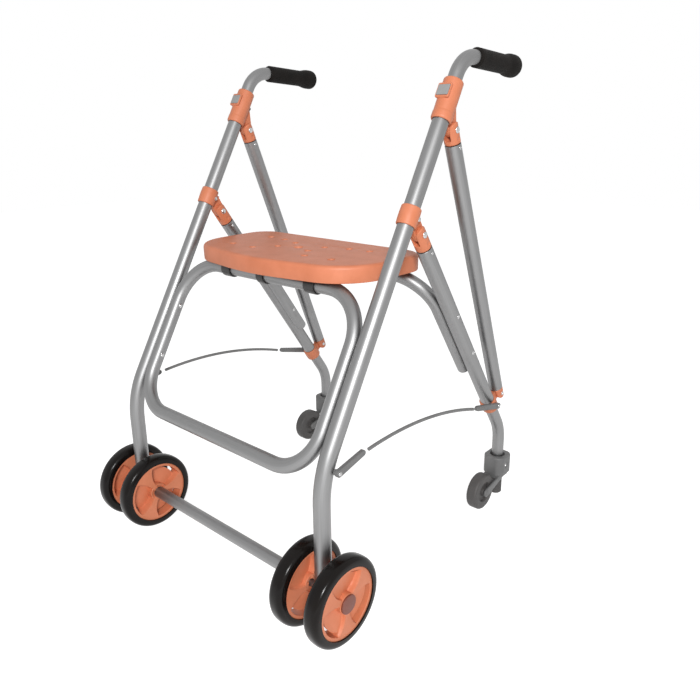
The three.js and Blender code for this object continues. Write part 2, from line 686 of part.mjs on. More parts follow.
function hub() {
  const half = hubWidth / 2;
  const bore = axleDiameter / 2 + seatedGap;
  const rim = solid(turnedAcross([
    [-half, rimRadius - rimThickness], [-half, rimRadius], [half, rimRadius], [half, rimRadius - rimThickness],
  ], wheelSegments));
  const boss = solid(rodAcross(place(0, 0), bossDiameter / 2, -half, half));
  const spokeTip = rimRadius - rimThickness / 2;
  const spokeRoot = bossDiameter / 3;
  const spokes = Array.from({ length: spokeCount }, (unused, index) => {
    const angle = 2 * Math.PI * index / spokeCount;
    const corner = (radius, turn) => place(radius * Math.cos(angle + turn), radius * Math.sin(angle + turn));
    const outline = new THREE.Shape([
      corner(spokeRoot, -spokeRootTurn), corner(spokeTip, -spokeTipTurn), corner(spokeTip * 1.02, 0),
      corner(spokeTip, spokeTipTurn), corner(spokeRoot, spokeRootTurn)]);
    return solid(plate(outline, -spokeThickness / 2, spokeThickness / 2));
  });
  return geometryOf(cut(join(rim, boss, ...spokes), solid(rodAcross(place(0, 0), bore, -hubWidth, hubWidth))));
}

function hubCap() {
  return rodAcross(place(0, 0), hubCapDiameter / 2, 0, hubCapThickness);
}

function axle() {
  const crossbarHalf = halfSpacing - twinSpacing / 2 - hubWidth / 2 - seatedGap;
  const tip = halfSpacing + twinSpacing / 2 + hubWidth / 2;
  const spot = place(0, axleHeight);
  return geometryOf(join(
    solid(rodAcross(spot, axleDiameter / 2, -tip, tip)),
    solid(rodAcross(spot, crossbarDiameter / 2, -crossbarHalf, crossbarHalf))));
}

// ---------------------------------------------------------------- loop, hoop and seat

// A bent tube in a leg's plane: each corner is how far out, and how far along the leg.
const frontLoop = () => {
  const out = halfSpacing - sidePlaneInset;
  const at = (x, along) => inSpace(onLeg(along), x);
  const half = (side) => solid(bentTube(
    [at(0, loopBottom), at(side * out, loopBottom), at(side * out, loopTop), at(0, loopTop)],
    [loopBottomRadius, loopTopRadius], bentDiameter, bentWall));
  const weepHole = new THREE.CylinderGeometry(weepHoleDiameter / 2, weepHoleDiameter / 2, bentRadius, 12)
    .rotateX(Math.PI / 2).translate(0, onLeg(loopBottom).x, onLeg(loopBottom).y - bentRadius);
  return geometryOf(cut(join(half(1), half(-1)), solid(weepHole)));
};

const rearHoop = () => {
  const out = halfSpacing - sidePlaneInset;
  const at = (x, along) => inSpace(onRearLeg(along), x);
  return bentTube(
    [at(-out, hoopEnd), at(-out, hoopTop), at(out, hoopTop), at(out, hoopEnd)],
    [hoopRadius, hoopRadius], bentDiameter, bentWall);
};

const seatFront = seatHinge.x - seatFrontOverhang;

// The seat's outline seen from above, drawn in by inset.
function seatOutline(inset) {
  const half = seatWidth / 2 - inset;
  const rear = seatFront + seatDepth - inset;
  const nose = seatFront + inset;
  const shrunk = (radius) => Math.max(radius - inset, 1);
  return roundedOutline([
    [0, nose - seatNoseShare * seatNoseRise, seatNoseRadius],
    [half - seatSideTaper, nose + seatNoseRise, shrunk(seatSideCorner)],
    [half, rear, shrunk(seatRearCorner)],
    [-half, rear, shrunk(seatRearCorner)],
    [seatSideTaper - half, nose + seatNoseRise, shrunk(seatSideCorner)],
  ]);
}

function seatPanel() {
  const bottom = seatTop - seatSkirt;
  const slab = (inset, low, high) => solid(new THREE.ExtrudeGeometry(seatOutline(inset), {
    depth: high - low, bevelEnabled: false, curveSegments: outlineSegments,
  }).translate(0, 0, low));
  const shell = cut(slab(0, bottom, seatTop), slab(seatWall, bottom - 1, seatTop - seatPlate));
  const ribFoot = seatHinge.y + bentRadius + seatedGap;
  const ribs = seatRibSpots.flatMap((spot) => [spot, -spot]).map((x) => solid(new THREE.BoxGeometry(
    seatRibThickness, seatDepth + 20, seatTop - seatPlate / 2 - ribFoot)
    .translate(x, seatFront + seatDepth / 2, (seatTop - seatPlate / 2 + ribFoot) / 2)));
  const inside = slab(seatWall / 2, ribFoot - 1, seatTop - seatPlate / 2);
  const drain = (x, behind, diameter) => solid(new THREE.CylinderGeometry(diameter / 2, diameter / 2, 30, pinSegments)
    .rotateX(Math.PI / 2).translate(x, seatFront + drainMiddle + behind, seatTop));
  const drains = drainSpots.flatMap(([x, behind]) => [
    drain(x, behind, drainDiameter), drain(-x, behind, drainDiameter)]);
  return geometryOf(cut(
    join(shell, ...ribs.map((rib) => rib.intersect(inside))), ...drains, drain(0, 0, drainMiddleDiameter)));
}

// A clip snapped over the loop's upper bar, with a pad up to the seat's plate.
function seatClip() {
  const bore = bentRadius + seatedGap;
  const outer = bore + clipWall;
  const half = clipWidth / 2;
  const padTop = seatTop - seatPlate - seatedGap;
  const pad = new THREE.Shape([
    place(seatHinge.x - outer + 2, seatHinge.y + 4), place(seatHinge.x + outer - 2, seatHinge.y + 4),
    place(seatHinge.x + outer - 2, padTop), place(seatHinge.x - outer + 2, padTop)]);
  const mouthAngle = radians(clipMouth / 2);
  const mouth = new THREE.Shape([
    place(seatHinge.x, seatHinge.y),
    place(seatHinge.x + 2 * outer * Math.cos(mouthAngle + 0.6), seatHinge.y - 2 * outer * Math.sin(mouthAngle + 0.6)),
    place(seatHinge.x + 2 * outer * Math.cos(mouthAngle - 0.6), seatHinge.y + 2 * outer * Math.sin(0.6 - mouthAngle)),
  ]);
  return geometryOf(cut(
    join(solid(rodAcross(seatHinge, outer, -half, half)), solid(plate(pad, -half, half))),
    solid(rodAcross(seatHinge, bore, -half - 1, half + 1)), solid(plate(mouth, -half - 1, half + 1))));
}

// ---------------------------------------------------------------- assembly

for (const [name, out] of [['left', 1], ['right', -1]]) {
  const side = new THREE.Group();
  side.position.x = out * halfSpacing;
  frame.add(side);
  const add = (piece, finish, geometry) => addPiece(side, `${name}_${piece}`, finish, geometry);

  add('leg_tube', 'tube', frontLeg());
  add('handle_tube', 'tube', handleTube());
  add('grip', 'foam', grip());
  add('upper_collar', 'orange', upperCollar());
  add('latch_button', 'button', latchButton());
  add('strut_top_pin', 'steel', pivotPin(strutPivot));
  add('strut_top_fork', 'orange', strutTopFork());
  add('strut_tube', 'tube', straightTube(strutTubeStart, strutTubeEnd));
  add('strut_lower_end', 'orange', strutLowerEnd());
  add('mid_clamp', 'orange', midClamp());
  add('leg_pivot_pin', 'steel', pivotPin(foldPivot));
  add('rear_leg_fork', 'orange', rearLegFork());
  add('rear_leg_tube', 'tube', straightTube(onRearLeg(rearForkLength), onRearLeg(rearLegEnd)));
  add('lower_clamp', 'orange', lowerClamp());
  add('rear_stem', 'tube', rearStem());
  add('brake_foot', 'black', brakeFoot());
  add('brake_housing', 'grey', brakeHousing());
  add('wheel_fork', 'grey', wheelFork());
  add('rear_wheel', 'grey', rearWheel().translate(0, rearAxle.x, rearAxle.y));
  add('stay_front_block', 'grey', stayBlock(stayFront, stayStart, out, legRadius + seatedGap));
  add('stay_rod', 'steel', stayRod(out));
  add('stay_rear_block', 'grey', stayBlock(stayRear, stayEnd, out, clampRadius + seatedGap));

  for (const [pair, beside] of [['outer', out], ['inner', -out]]) {
    const wheel = new THREE.Group();
    wheel.position.set(beside * twinSpacing / 2, 0, axleHeight);
    side.add(wheel);
    addPiece(wheel, `${name}_${pair}_tyre`, 'tyre', tyre());
    addPiece(wheel, `${name}_${pair}_hub`, 'orange', hub());
  }
  const cap = new THREE.Group();
  const capFace = twinSpacing / 2 + hubWidth / 2 + seatedGap;
  cap.position.set(out * capFace + (out > 0 ? 0 : -hubCapThickness), 0, axleHeight);
  side.add(cap);
  addPiece(cap, `${name}_hub_cap`, 'cap', hubCap());

  const clip = new THREE.Group();
  clip.position.x = out * clipSpot;
  frame.add(clip);
  addPiece(clip, `${name}_seat_clip`, 'black', seatClip());
}

addPiece(frame, 'front_loop', 'tube', frontLoop());
addPiece(frame, 'rear_hoop', 'tube', rearHoop());
addPiece(frame, 'axle', 'steel', axle());
addPiece(frame, 'seat_panel', 'orange', seatPanel());

export default frame;
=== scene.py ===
# %% [markdown]
# # A folding walking frame, finished in Blender
# The frame arrives from CAD as exact but plain bodies. This lesson gives every one of them its finished
# surface: drawn tubes, moulded orange fittings, foam grips, glossy tyres and small rubber casters. Each piece
# is a formula on a grid of two parameters, worked out with numpy, so its roundings stay smooth at any
# distance.

# %% Load the frame
import json
import bmesh
import bpy
import numpy as np
from mathutils import Euler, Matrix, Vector


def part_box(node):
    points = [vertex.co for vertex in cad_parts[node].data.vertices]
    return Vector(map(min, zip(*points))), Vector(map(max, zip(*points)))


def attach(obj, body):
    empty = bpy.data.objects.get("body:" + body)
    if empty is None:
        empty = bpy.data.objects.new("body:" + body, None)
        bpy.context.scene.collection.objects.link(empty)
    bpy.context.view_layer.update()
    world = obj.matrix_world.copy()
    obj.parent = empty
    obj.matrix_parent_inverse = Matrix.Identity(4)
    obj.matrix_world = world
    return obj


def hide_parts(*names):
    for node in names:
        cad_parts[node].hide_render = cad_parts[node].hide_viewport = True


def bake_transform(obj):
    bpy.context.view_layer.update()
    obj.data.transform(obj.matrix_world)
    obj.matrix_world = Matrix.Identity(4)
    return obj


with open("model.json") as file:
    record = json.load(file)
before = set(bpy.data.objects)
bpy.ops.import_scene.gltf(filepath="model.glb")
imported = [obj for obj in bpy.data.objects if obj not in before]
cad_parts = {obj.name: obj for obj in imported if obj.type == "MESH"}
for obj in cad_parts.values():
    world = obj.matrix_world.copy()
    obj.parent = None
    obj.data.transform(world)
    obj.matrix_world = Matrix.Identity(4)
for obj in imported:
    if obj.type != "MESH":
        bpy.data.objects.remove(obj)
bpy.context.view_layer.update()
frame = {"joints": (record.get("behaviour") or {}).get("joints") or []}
mm = 0.001

# %% [markdown]
# ## The side frame as a drawing
# Each side of the walking frame is a flat drawing: a front leg, a rear leg and a strut between them. We keep
# a place in that drawing as (rearwards, up), and turn it into space with the side's X. The directions come
# from the joints: a handle slides along the leg, so its axis is the leg's direction.

# %% Places in the side frame's plane
joints = {joint["name"]: joint for joint in frame["joints"]}
sides = {"left": 1, "right": -1}
side_x = abs(joints["left_strut_swing"]["pos_m"][0])


def joint_spot(name):
    """Where a joint is, as (rearwards, up) in the side frame's plane."""
    return np.array(joints[name]["pos_m"][1:], float)


def heading(angle):
    """A direction in the plane: degrees down from level, looking rearwards."""
    return np.array([np.cos(np.radians(angle)), -np.sin(np.radians(angle))])


leg_up = np.array(joints["left_handle_height"]["axis"][1:], float)
leg_up /= np.linalg.norm(leg_up)
leg_back = np.array([leg_up[1], -leg_up[0]])
fold_pivot = joint_spot("fold")
strut_pivot = joint_spot("left_strut_swing")
seat_hinge = joint_spot("seat_tip")
front_axle = joint_spot("left_outer_wheel_spin")
rear_axle = joint_spot("left_rear_wheel_spin")
pivot_above_bend = 415.6 * mm
pivot_behind_leg = 38 * mm
leg_bend = fold_pivot - pivot_above_bend * leg_up - pivot_behind_leg * leg_back
rear_lean = 34.3
rear_down = heading(90 - rear_lean)
rear_back = np.array([-rear_down[1], rear_down[0]])


def on_leg(along, behind=0.0):
    """A place counted in millimetres up the front leg from its bend, and behind its axis."""
    return leg_bend + along * mm * leg_up + behind * mm * leg_back


def on_rear(along, behind=0.0):
    """A place counted in millimetres down the rear leg from the fold pivot, and behind its axis."""
    return fold_pivot + along * mm * rear_down + behind * mm * rear_back


def at(x, spot):
    """A place of the plane in space."""
    return np.array([x, spot[0], spot[1]], float)


strut_foot_along, strut_foot_behind, stem_bend_along = 466, 34, 551
strut_foot = on_rear(strut_foot_along, strut_foot_behind)
strut_down = (strut_foot - strut_pivot) / np.linalg.norm(strut_foot - strut_pivot)
stem_bend = on_rear(stem_bend_along)
leg_radius = 14 * mm
bent_radius = 12.5 * mm
clamp_radius = 17 * mm
print("front leg leans", round(float(np.degrees(np.arctan2(leg_up[0], leg_up[1]))), 1), "degrees")

# %% [markdown]
# ## The camera and the light
# The camera stands in front of the frame on its left, a little above the seat. One lamp shines from behind
# the camera, as a flash does: tubes that lie across its beam light up along their length, and tubes that lean
# away stay grey, which is what makes bent metal readable. The world adds an even fill and shows white to the
# camera.

# %% Camera, lamp and world
camera_data = bpy.data.cameras.new("camera")
camera = bpy.data.objects.new("camera", camera_data)
bpy.context.scene.collection.objects.link(camera)
camera.location = (0.8926, -0.8888, 0.7840)
camera.rotation_euler = Euler(np.radians([73.063, 0.299, 40.661]))
camera_data.sensor_width = 36
camera_data.lens = 34.247
camera_data.shift_x = -0.01699
camera_data.shift_y = -0.02931
bpy.context.scene.camera = camera


def area_lamp(name, place, target, size, power):
    """A square lamp at place that shines at target."""
    data = bpy.data.lights.new(name, "AREA")
    data.size = size
    data.energy = power
    lamp = bpy.data.objects.new(name, data)
    bpy.context.scene.collection.objects.link(lamp)
    lamp.location = place
    lamp.rotation_euler = (Vector(target) - Vector(place)).to_track_quat("-Z", "Y").to_euler()
    return lamp


key_place, key_target = (1.72, -1.80, 1.6), (0, 0, 0.42)
key_size, key_power = 0.55, 62
area_lamp("key_lamp", key_place, key_target, key_size, key_power)
fill_strength = 0.30
world = bpy.data.worlds.new("studio")
bpy.context.scene.world = world
bpy.context.scene.view_settings.view_transform = "Standard"


print("lens", camera_data.lens, "mm, fill", fill_strength)

# %% Links and ray kinds
def wire(tree, *pairs):
    """Links output sockets to input sockets."""
    for output, target in pairs:
        tree.links.new(output, target)


def seen_directly(tree):
    """1 for rays that show the background: from the camera, off a glossy surface, or through glass."""
    path = tree.nodes.new("ShaderNodeLightPath")
    either = tree.nodes.new("ShaderNodeMath")
    either.operation = "MAXIMUM"
    both = tree.nodes.new("ShaderNodeMath")
    both.operation = "MAXIMUM"
    wire(tree, (path.outputs["Is Camera Ray"], either.inputs[0]),
         (path.outputs["Is Glossy Ray"], either.inputs[1]),
         (either.outputs[0], both.inputs[0]), (path.outputs["Is Transmission Ray"], both.inputs[1]))
    return both.outputs[0]

# %% White behind, even light all round
world.use_nodes = True
sky = world.node_tree
backdrop_light = sky.nodes["Background"]
backdrop_light.inputs["Color"].default_value = (1, 1, 1, 1)
strength = sky.nodes.new("ShaderNodeMapRange")
strength.inputs["To Min"].default_value = fill_strength
strength.inputs["To Max"].default_value = 1.0
wire(sky, (seen_directly(sky), strength.inputs["Value"]),
     (strength.outputs["Result"], backdrop_light.inputs["Strength"]))

# %% [markdown]
# ## Surface helpers
# Three kinds of surface make almost everything here. A swept tube carries a circle along a path. A turned
# piece carries a profile round a straight axis. A plate is bounded by a belt that hugs a few discs. All three
# are grids of points, so one function turns any of them into a mesh. Primitives with a Bevel would do for a
# distant view, but a formula keeps each wall and rounding at the size it has on the frame.

# %% From a grid of points to a mesh
def grid_faces(rows, columns, wrap_rows=False, wrap_columns=True):
    """Quads between neighbouring grid points, with either direction closed on itself."""
    row_count = rows if wrap_rows else rows - 1
    column_count = columns if wrap_columns else columns - 1
    row, column = np.meshgrid(np.arange(row_count), np.arange(column_count), indexing="ij")
    next_row = (row + 1) % rows
    next_column = (column + 1) % columns
    corners = (row * columns + column, next_row * columns + column,
               next_row * columns + next_column, row * columns + next_column)
    return np.stack([corner.ravel() for corner in corners], axis=1)


def grid_mesh(grid, wrap_rows=False, wrap_columns=True, straight=None):
    """A mesh from a grid of points, with its poles merged and its faces turned outwards."""
    rows, columns = grid.shape[:2]
    mesh = bpy.data.meshes.new("surface")
    mesh.from_pydata(grid.reshape(-1, 3).tolist(), [],
                     grid_faces(rows, columns, wrap_rows, wrap_columns).tolist())
    if straight is not None:
        layer = mesh.attributes.new("straight", "FLOAT_VECTOR", "POINT")
        layer.data.foreach_set("vector", straight.astype(np.float32).ravel())
    work = bmesh.new()
    work.from_mesh(mesh)
    bmesh.ops.remove_doubles(work, verts=work.verts, dist=2e-6)
    bmesh.ops.dissolve_degenerate(work, edges=work.edges, dist=1e-6)
    bmesh.ops.recalc_face_normals(work, faces=work.faces)
    work.to_mesh(mesh)
    work.free()
    return mesh


def piece(name, mesh, material, crease=35):
    """An object of that mesh at the origin, shaded smooth except at edges sharper than crease degrees."""
    mesh.name = name
    mesh.materials.clear()
    mesh.materials.append(material)
    mesh.shade_smooth()
    mesh.set_sharp_from_angle(angle=np.radians(crease))
    made = bpy.data.objects.new(name, mesh)
    bpy.context.scene.collection.objects.link(made)
    return made

# %% Several bodies in one mesh
def join_meshes(*meshes):
    """One mesh that holds several closed bodies."""
    work = bmesh.new()
    for mesh in meshes:
        work.from_mesh(mesh)
    joined = bpy.data.meshes.new("joined")
    work.to_mesh(joined)
    work.free()
    return joined

# %% Bent paths and swept tubes
def unit(vector):
    return vector / np.linalg.norm(vector, axis=-1, keepdims=True)


def carried(points, tangents, normal, radii, turns):
    """Rings of a tube: point + radius * (cos turn * side + sin turn * normal), with side across the
    tangent."""
    side = unit(np.cross(tangents, normal))
    up = unit(np.cross(side, tangents))
    ring = np.cos(turns)[None, :, None] * side[:, None] + np.sin(turns)[None, :, None] * up[:, None]
    return points[:, None] + radii[:, None, None] * ring


def bent_path(corners, radii, spacing=6 * mm):
    """Stations along straight runs with an arc of the given radius at each corner, and their tangents."""
    corners = [np.array(corner, float) for corner in corners]
    points, tangents = [corners[0]], [unit(corners[1] - corners[0])]
    for corner, radius, before, after in zip(corners[1:-1], radii, corners[:-2], corners[2:]):
        incoming, outgoing = unit(corner - before), unit(after - corner)
        turn = np.arccos(np.clip(incoming @ outgoing, -1, 1))
        inward = unit(outgoing - incoming * (incoming @ outgoing))
        centre = corner - incoming * radius * np.tan(turn / 2) + inward * radius
        angles = np.linspace(0, turn, max(6, int(radius * turn / spacing)))[:, None]
        points.extend(centre - inward * radius * np.cos(angles) + incoming * radius * np.sin(angles))
        tangents.extend(incoming * np.cos(angles) + inward * np.sin(angles))
    points.append(corners[-1])
    tangents.append(unit(corners[-1] - corners[-2]))
    return np.array(points), np.array(tangents)


def tube_mesh(corners, radii, radius, wall=1.3 * mm, sides_round=40, lip=0.35 * mm, plugged=0.0):
    """A tube along a bent path. Past each end the grid turns over a rounded lip and runs back inside for a
    short way before it closes, so the tube looks hollow. plugged > 0 rounds the ends over instead."""
    points, tangents = bent_path(corners, radii)
    plane = np.cross(tangents[0], tangents[len(tangents) // 2])
    if np.linalg.norm(plane) < 1e-6:
        plane = np.cross(tangents[0], tangents[-1])
    if np.linalg.norm(plane) < 1e-6:
        plane = np.array([1.0, 0, 0]) if abs(tangents[0][0]) < 0.9 else np.array([0, 0, 1.0])
    plane = np.repeat(unit(plane)[None], len(points), axis=0)
    length = np.concatenate([[0], np.cumsum(np.linalg.norm(np.diff(points, axis=0), axis=1))])
    if plugged:
        quarter = np.linspace(0, np.pi / 2, 7)
        cap = [(0.0, 0.0)] + [(plugged * (1 - np.sin(q)),
                               radius - plugged * (1 - np.cos(q))) for q in quarter[::-1]]
    else:
        cap = [(12 * mm, 0.0), (12 * mm, radius - wall), (lip, radius - wall), (0.0, radius - wall + lip),
               (0.0, radius - lip), (lip, radius)]
    first = [points[0] + tangents[0] * a for a, _ in cap]
    last = [points[-1] - tangents[-1] * a for a, _ in cap[::-1]]
    rings = np.concatenate([first, points[1:-1], last])
    ring_tangents = np.concatenate([np.repeat(tangents[:1], len(cap), 0), tangents[1:-1],
                                    np.repeat(tangents[-1:], len(cap), 0)])
    ring_radii = np.concatenate([[r for _, r in cap], np.full(len(points) - 2, radius),
                                 [r for _, r in cap[::-1]]])
    ring_plane = np.repeat(plane[:1], len(rings), axis=0)
    ring_length = np.concatenate([[length[0] + a for a, _ in cap], length[1:-1],
                                  [length[-1] - a for a, _ in cap[::-1]]])
    turns = np.linspace(0, 2 * np.pi, sides_round, endpoint=False)
    grid = carried(rings, ring_tangents, ring_plane, ring_radii, turns)
    straight = np.stack([ring_radii[:, None] * np.cos(turns), ring_radii[:, None] * np.sin(turns),
                         np.repeat(ring_length[:, None], sides_round, axis=1)], axis=-1)
    return grid_mesh(grid, straight=straight.reshape(-1, 3))


elbow = bent_path([(0, 0, 0), (1, 0, 0), (1, 1, 0)], [0.1])[0]
print("a right-angle bend of 100 mm radius takes", len(elbow), "stations")

# %% Turned pieces
def turned_mesh(origin, axis, profile, sides_round=48, closed=False):
    """A profile of (along, radius) carried round an axis: origin + along * axis + radius * ring."""
    profile = np.array(profile, float)
    axis = unit(np.array(axis, float))
    across = np.array([1.0, 0, 0]) if abs(axis[0]) < 0.9 else np.array([0, 1.0, 0])
    points = np.array(origin, float) + profile[:, :1] * axis
    count = len(points)
    turns = np.linspace(0, 2 * np.pi, sides_round, endpoint=False)
    grid = carried(points, np.repeat(axis[None], count, 0), np.repeat(across[None], count, 0), profile[:, 1],
                   turns)
    straight = np.stack([profile[:, 1:] * np.cos(turns), profile[:, 1:] * np.sin(turns),
                         np.repeat(profile[:, :1], sides_round, axis=1)], axis=-1)
    return grid_mesh(grid, wrap_rows=closed, straight=straight.reshape(-1, 3))


def rounded_rod(start, end, radius, edge=1 * mm, sides_round=40):
    """A solid rod whose two ends are rounded over by edge."""
    start, end = np.array(start, float), np.array(end, float)
    length = np.linalg.norm(end - start)
    quarter = np.linspace(0, np.pi / 2, 5)
    near = [(edge * (1 - np.cos(q)), radius - edge * (1 - np.sin(q))) for q in quarter]
    profile = [(0, 0)] + near + [(length - a, r) for a, r in near[::-1]] + [(length, 0)]
    return turned_mesh(start, end - start, profile, sides_round)


def sleeve_mesh(start, end, outer, inner, edge=1.5 * mm, belly=0.0):
    """A sleeve round a tube: a closed profile whose outer line may swell by belly towards its middle."""
    start, end = np.array(start, float), np.array(end, float)
    length = np.linalg.norm(end - start)
    quarter = np.linspace(0, np.pi / 2, 5)
    lower = [(edge * (1 - np.cos(q)), outer - edge * (1 - np.sin(q))) for q in quarter]
    middle = [(length * s, outer + belly * np.sin(np.pi * s) ** 2) for s in np.linspace(0.1, 0.9, 9)]
    upper = [(length - a, r) for a, r in lower[::-1]]
    profile = [(0, inner)] + lower + middle + upper + [(length, inner)]
    return turned_mesh(start, end - start, profile, 56, closed=True)

# %% Belted plates
def belt(discs, inset, turns):
    """The belt round discs (a, b, radius): for each direction, the point of the disc that reaches
    farthest."""
    discs = np.array(discs, float)
    out = np.stack([np.cos(turns), np.sin(turns)], axis=-1)
    farthest = np.argmax(discs[:, :2] @ out.T + discs[:, 2:], axis=0)
    radius = np.maximum(discs[farthest, 2] - inset, 1e-5)
    return discs[farthest, :2] + radius[:, None] * out


def plate_mesh(discs, origin, across, along, low, high, edge=1 * mm, steps=72):
    """A plate bounded by a belt, from low to high along its thickness, with both rims rounded by edge."""
    across, along = np.array(across, float), np.array(along, float)
    thick = np.cross(across, along)
    quarter = np.linspace(0, np.pi / 2, 4)
    rim = [(low + edge * (1 - np.sin(q)), edge * (1 - np.cos(q))) for q in quarter[::-1]]
    rows = rim + [(high - (a - low), b) for a, b in rim[::-1]]
    turns = np.linspace(0, 2 * np.pi, steps, endpoint=False) + 1e-4
    middle = np.mean(belt(discs, 0, turns), axis=0)
    flat = [np.repeat(middle[None], steps, 0)] + [belt(discs, b, turns) for _, b in rows]
    flat.append(flat[0])
    heights = [low] + [a for a, _ in rows] + [high]
    grid = np.array([np.array(origin) + p[:, :1] * across + p[:, 1:] * along + h * thick
                     for p, h in zip(flat, heights)])
    return grid_mesh(grid)


def side_plate(x, discs, low, high, edge=1 * mm, steps=72):
    """A plate in a side frame's plane: discs are (place, radius), and low and high are counted across from
    x."""
    spots = [(spot[0], spot[1], radius) for spot, radius in discs]
    return plate_mesh(spots, (x, 0, 0), (0, 1, 0), (0, 0, 1), low, high, edge, steps)

# %% [markdown]
# ## Carving and fusing
# A moulded fitting is one body with soft inner corners where a boss meets a sleeve. Fusing closed shapes with
# a voxel remesh, then relaxing the result, gives exactly those small fillets. A Bevel modifier rounds outer
# edges well, but it can't fill the crease between two crossing bodies. Slots, holes and recesses are carved
# first with an exact Boolean, so they keep their places.

# %% Fuse and carve
def apply_modifiers(made):
    """Bakes an object's modifiers into its mesh."""
    evaluated = made.evaluated_get(bpy.context.evaluated_depsgraph_get())
    mesh = bpy.data.meshes.new_from_object(evaluated)
    made.modifiers.clear()
    made.data = mesh
    return made


def carve(made, operation, *tools):
    """Applies exact Booleans with each tool mesh in turn."""
    for tool in tools:
        cutter = bpy.data.objects.new("cutter", tool)
        bpy.context.scene.collection.objects.link(cutter)
        modifier = made.modifiers.new("carve", "BOOLEAN")
        modifier.operation = operation
        modifier.solver = "EXACT"
        modifier.object = cutter
        bpy.context.view_layer.update()
        apply_modifiers(made)
        bpy.data.objects.remove(cutter)
    return made

# %% Melt and fuse
fuse_voxel = 0.8 * mm


def melt(made, material, voxel=fuse_voxel, relax=5):
    """Remeshes an object into even voxels, then relaxes them, which fills its creases and rounds its
    corners."""
    remesh = made.modifiers.new("fuse", "REMESH")
    remesh.mode = "VOXEL"
    remesh.voxel_size = voxel
    relaxed = made.modifiers.new("relax", "SMOOTH")
    relaxed.iterations = relax
    apply_modifiers(made)
    made.data.name = made.name
    made.data.materials.clear()
    made.data.materials.append(material)
    made.data.shade_smooth()
    return made


def fuse(name, material, bodies, cuts=(), voxel=fuse_voxel, relax=5):
    """Fuses closed bodies into one moulding with small fillets, after the cuts have been carved out."""
    made = piece(name, bodies[0], material)
    carve(made, "UNION", *bodies[1:])
    carve(made, "DIFFERENCE", *cuts)
    return melt(made, material, voxel, relax)

# %% Where a piece belongs
def settle(made, body, slot, *nodes):
    """Says which body a piece rides on and which CAD nodes it stands for; slot is not used."""
    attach(made, body)
    if nodes:
        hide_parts(*nodes)
    return made

# %% [markdown]
# ## Finishes
# Every finish is built from nodes. Two effects are shared, so each is a node group: moulded grain, which is
# the faint orange-peel and tonal mottling of plastic and rubber, and drawn streaks, which are the long fine
# lines that a die leaves on a tube. Each material places them with its own scale and depth. Noise on the
# piece's own coordinates is chosen because it never stretches and stays sharp from close by.

# %% Shared node groups
def new_group(name, inputs, outputs):
    """A shader node group with named sockets; returns the group, its input node and its output node."""
    group = bpy.data.node_groups.new(name, "ShaderNodeTree")
    for label, kind, default in inputs:
        socket = group.interface.new_socket(name=label, in_out="INPUT", socket_type=kind)
        if default is not None:
            socket.default_value = default
    for label, kind in outputs:
        group.interface.new_socket(name=label, in_out="OUTPUT", socket_type=kind)
    return group, group.nodes.new("NodeGroupInput"), group.nodes.new("NodeGroupOutput")


def add_noise(tree, vector, scale, detail=3.0, rough=0.55):
    """A noise texture's value on a coordinate."""
    noise = tree.nodes.new("ShaderNodeTexNoise")
    noise.inputs["Detail"].default_value = detail
    noise.inputs["Roughness"].default_value = rough
    tree.links.new(vector, noise.inputs["Vector"])
    if isinstance(scale, float):
        noise.inputs["Scale"].default_value = scale
    else:
        tree.links.new(scale, noise.inputs["Scale"])
    return noise.outputs["Fac"]


def blend_colours(tree, factor, first, second):
    """A colour between first and second; each may be a socket or a plain colour."""
    mix = tree.nodes.new("ShaderNodeMix")
    mix.data_type = "RGBA"
    tree.links.new(factor, mix.inputs["Factor"])
    for value, socket in ((first, mix.inputs[6]), (second, mix.inputs[7])):
        if isinstance(value, tuple):
            socket.default_value = (*value, 1)
        else:
            tree.links.new(value, socket)
    return mix.outputs[2]


def remap(tree, value, low, high, from_low=0.0, from_high=1.0):
    """A value moved from one range to another, and held inside it."""
    node = tree.nodes.new("ShaderNodeMapRange")
    node.inputs["From Min"].default_value = from_low
    node.inputs["From Max"].default_value = from_high
    node.inputs["To Min"].default_value = low
    node.inputs["To Max"].default_value = high
    tree.links.new(value, node.inputs["Value"])
    return node.outputs["Result"]


def moulded_grain_group():
    """Mottle is broad tonal drift, Speck is fine freckling and Height is the orange-peel relief."""
    group, given, result = new_group(
        "moulded_grain",
        [("Vector", "NodeSocketVector", None), ("Grain Scale", "NodeSocketFloat", 1800.0),
         ("Drift Scale", "NodeSocketFloat", 28.0)],
        [("Mottle", "NodeSocketFloat"), ("Speck", "NodeSocketFloat"), ("Height", "NodeSocketFloat")])
    vector = given.outputs["Vector"]
    wire(group,
         (remap(group, add_noise(group, vector, given.outputs["Drift Scale"], 4.0), 0.0, 1.0, 0.3, 0.7),
          result.inputs["Mottle"]),
         (remap(group, add_noise(group, vector, given.outputs["Grain Scale"], 2.0), 0.0, 1.0, 0.35, 0.65),
          result.inputs["Speck"]),
         (add_noise(group, vector, given.outputs["Grain Scale"], 2.0), result.inputs["Height"]))
    return group


def drawn_streaks_group():
    """Noise on a coordinate squeezed along the tube, so that each fleck becomes a long streak."""
    group, given, result = new_group(
        "drawn_streaks",
        [("Vector", "NodeSocketVector", None), ("Streak Scale", "NodeSocketFloat", 900.0)],
        [("Streak", "NodeSocketFloat"), ("Smudge", "NodeSocketFloat")])
    squeeze = group.nodes.new("ShaderNodeMapping")
    squeeze.inputs["Scale"].default_value = (1, 1, 0.012)
    wire(group, (given.outputs["Vector"], squeeze.inputs["Vector"]))
    wire(group,
         (add_noise(group, squeeze.outputs["Vector"], given.outputs["Streak Scale"], 3.0, 0.6),
          result.inputs["Streak"]),
         (remap(group, add_noise(group, given.outputs["Vector"], 16.0, 4.0), 0.0, 1.0, 0.35, 0.7),
          result.inputs["Smudge"]))
    return group


moulded_grain = moulded_grain_group()
drawn_streaks = drawn_streaks_group()
print("shared effects:", [group.name for group in bpy.data.node_groups])

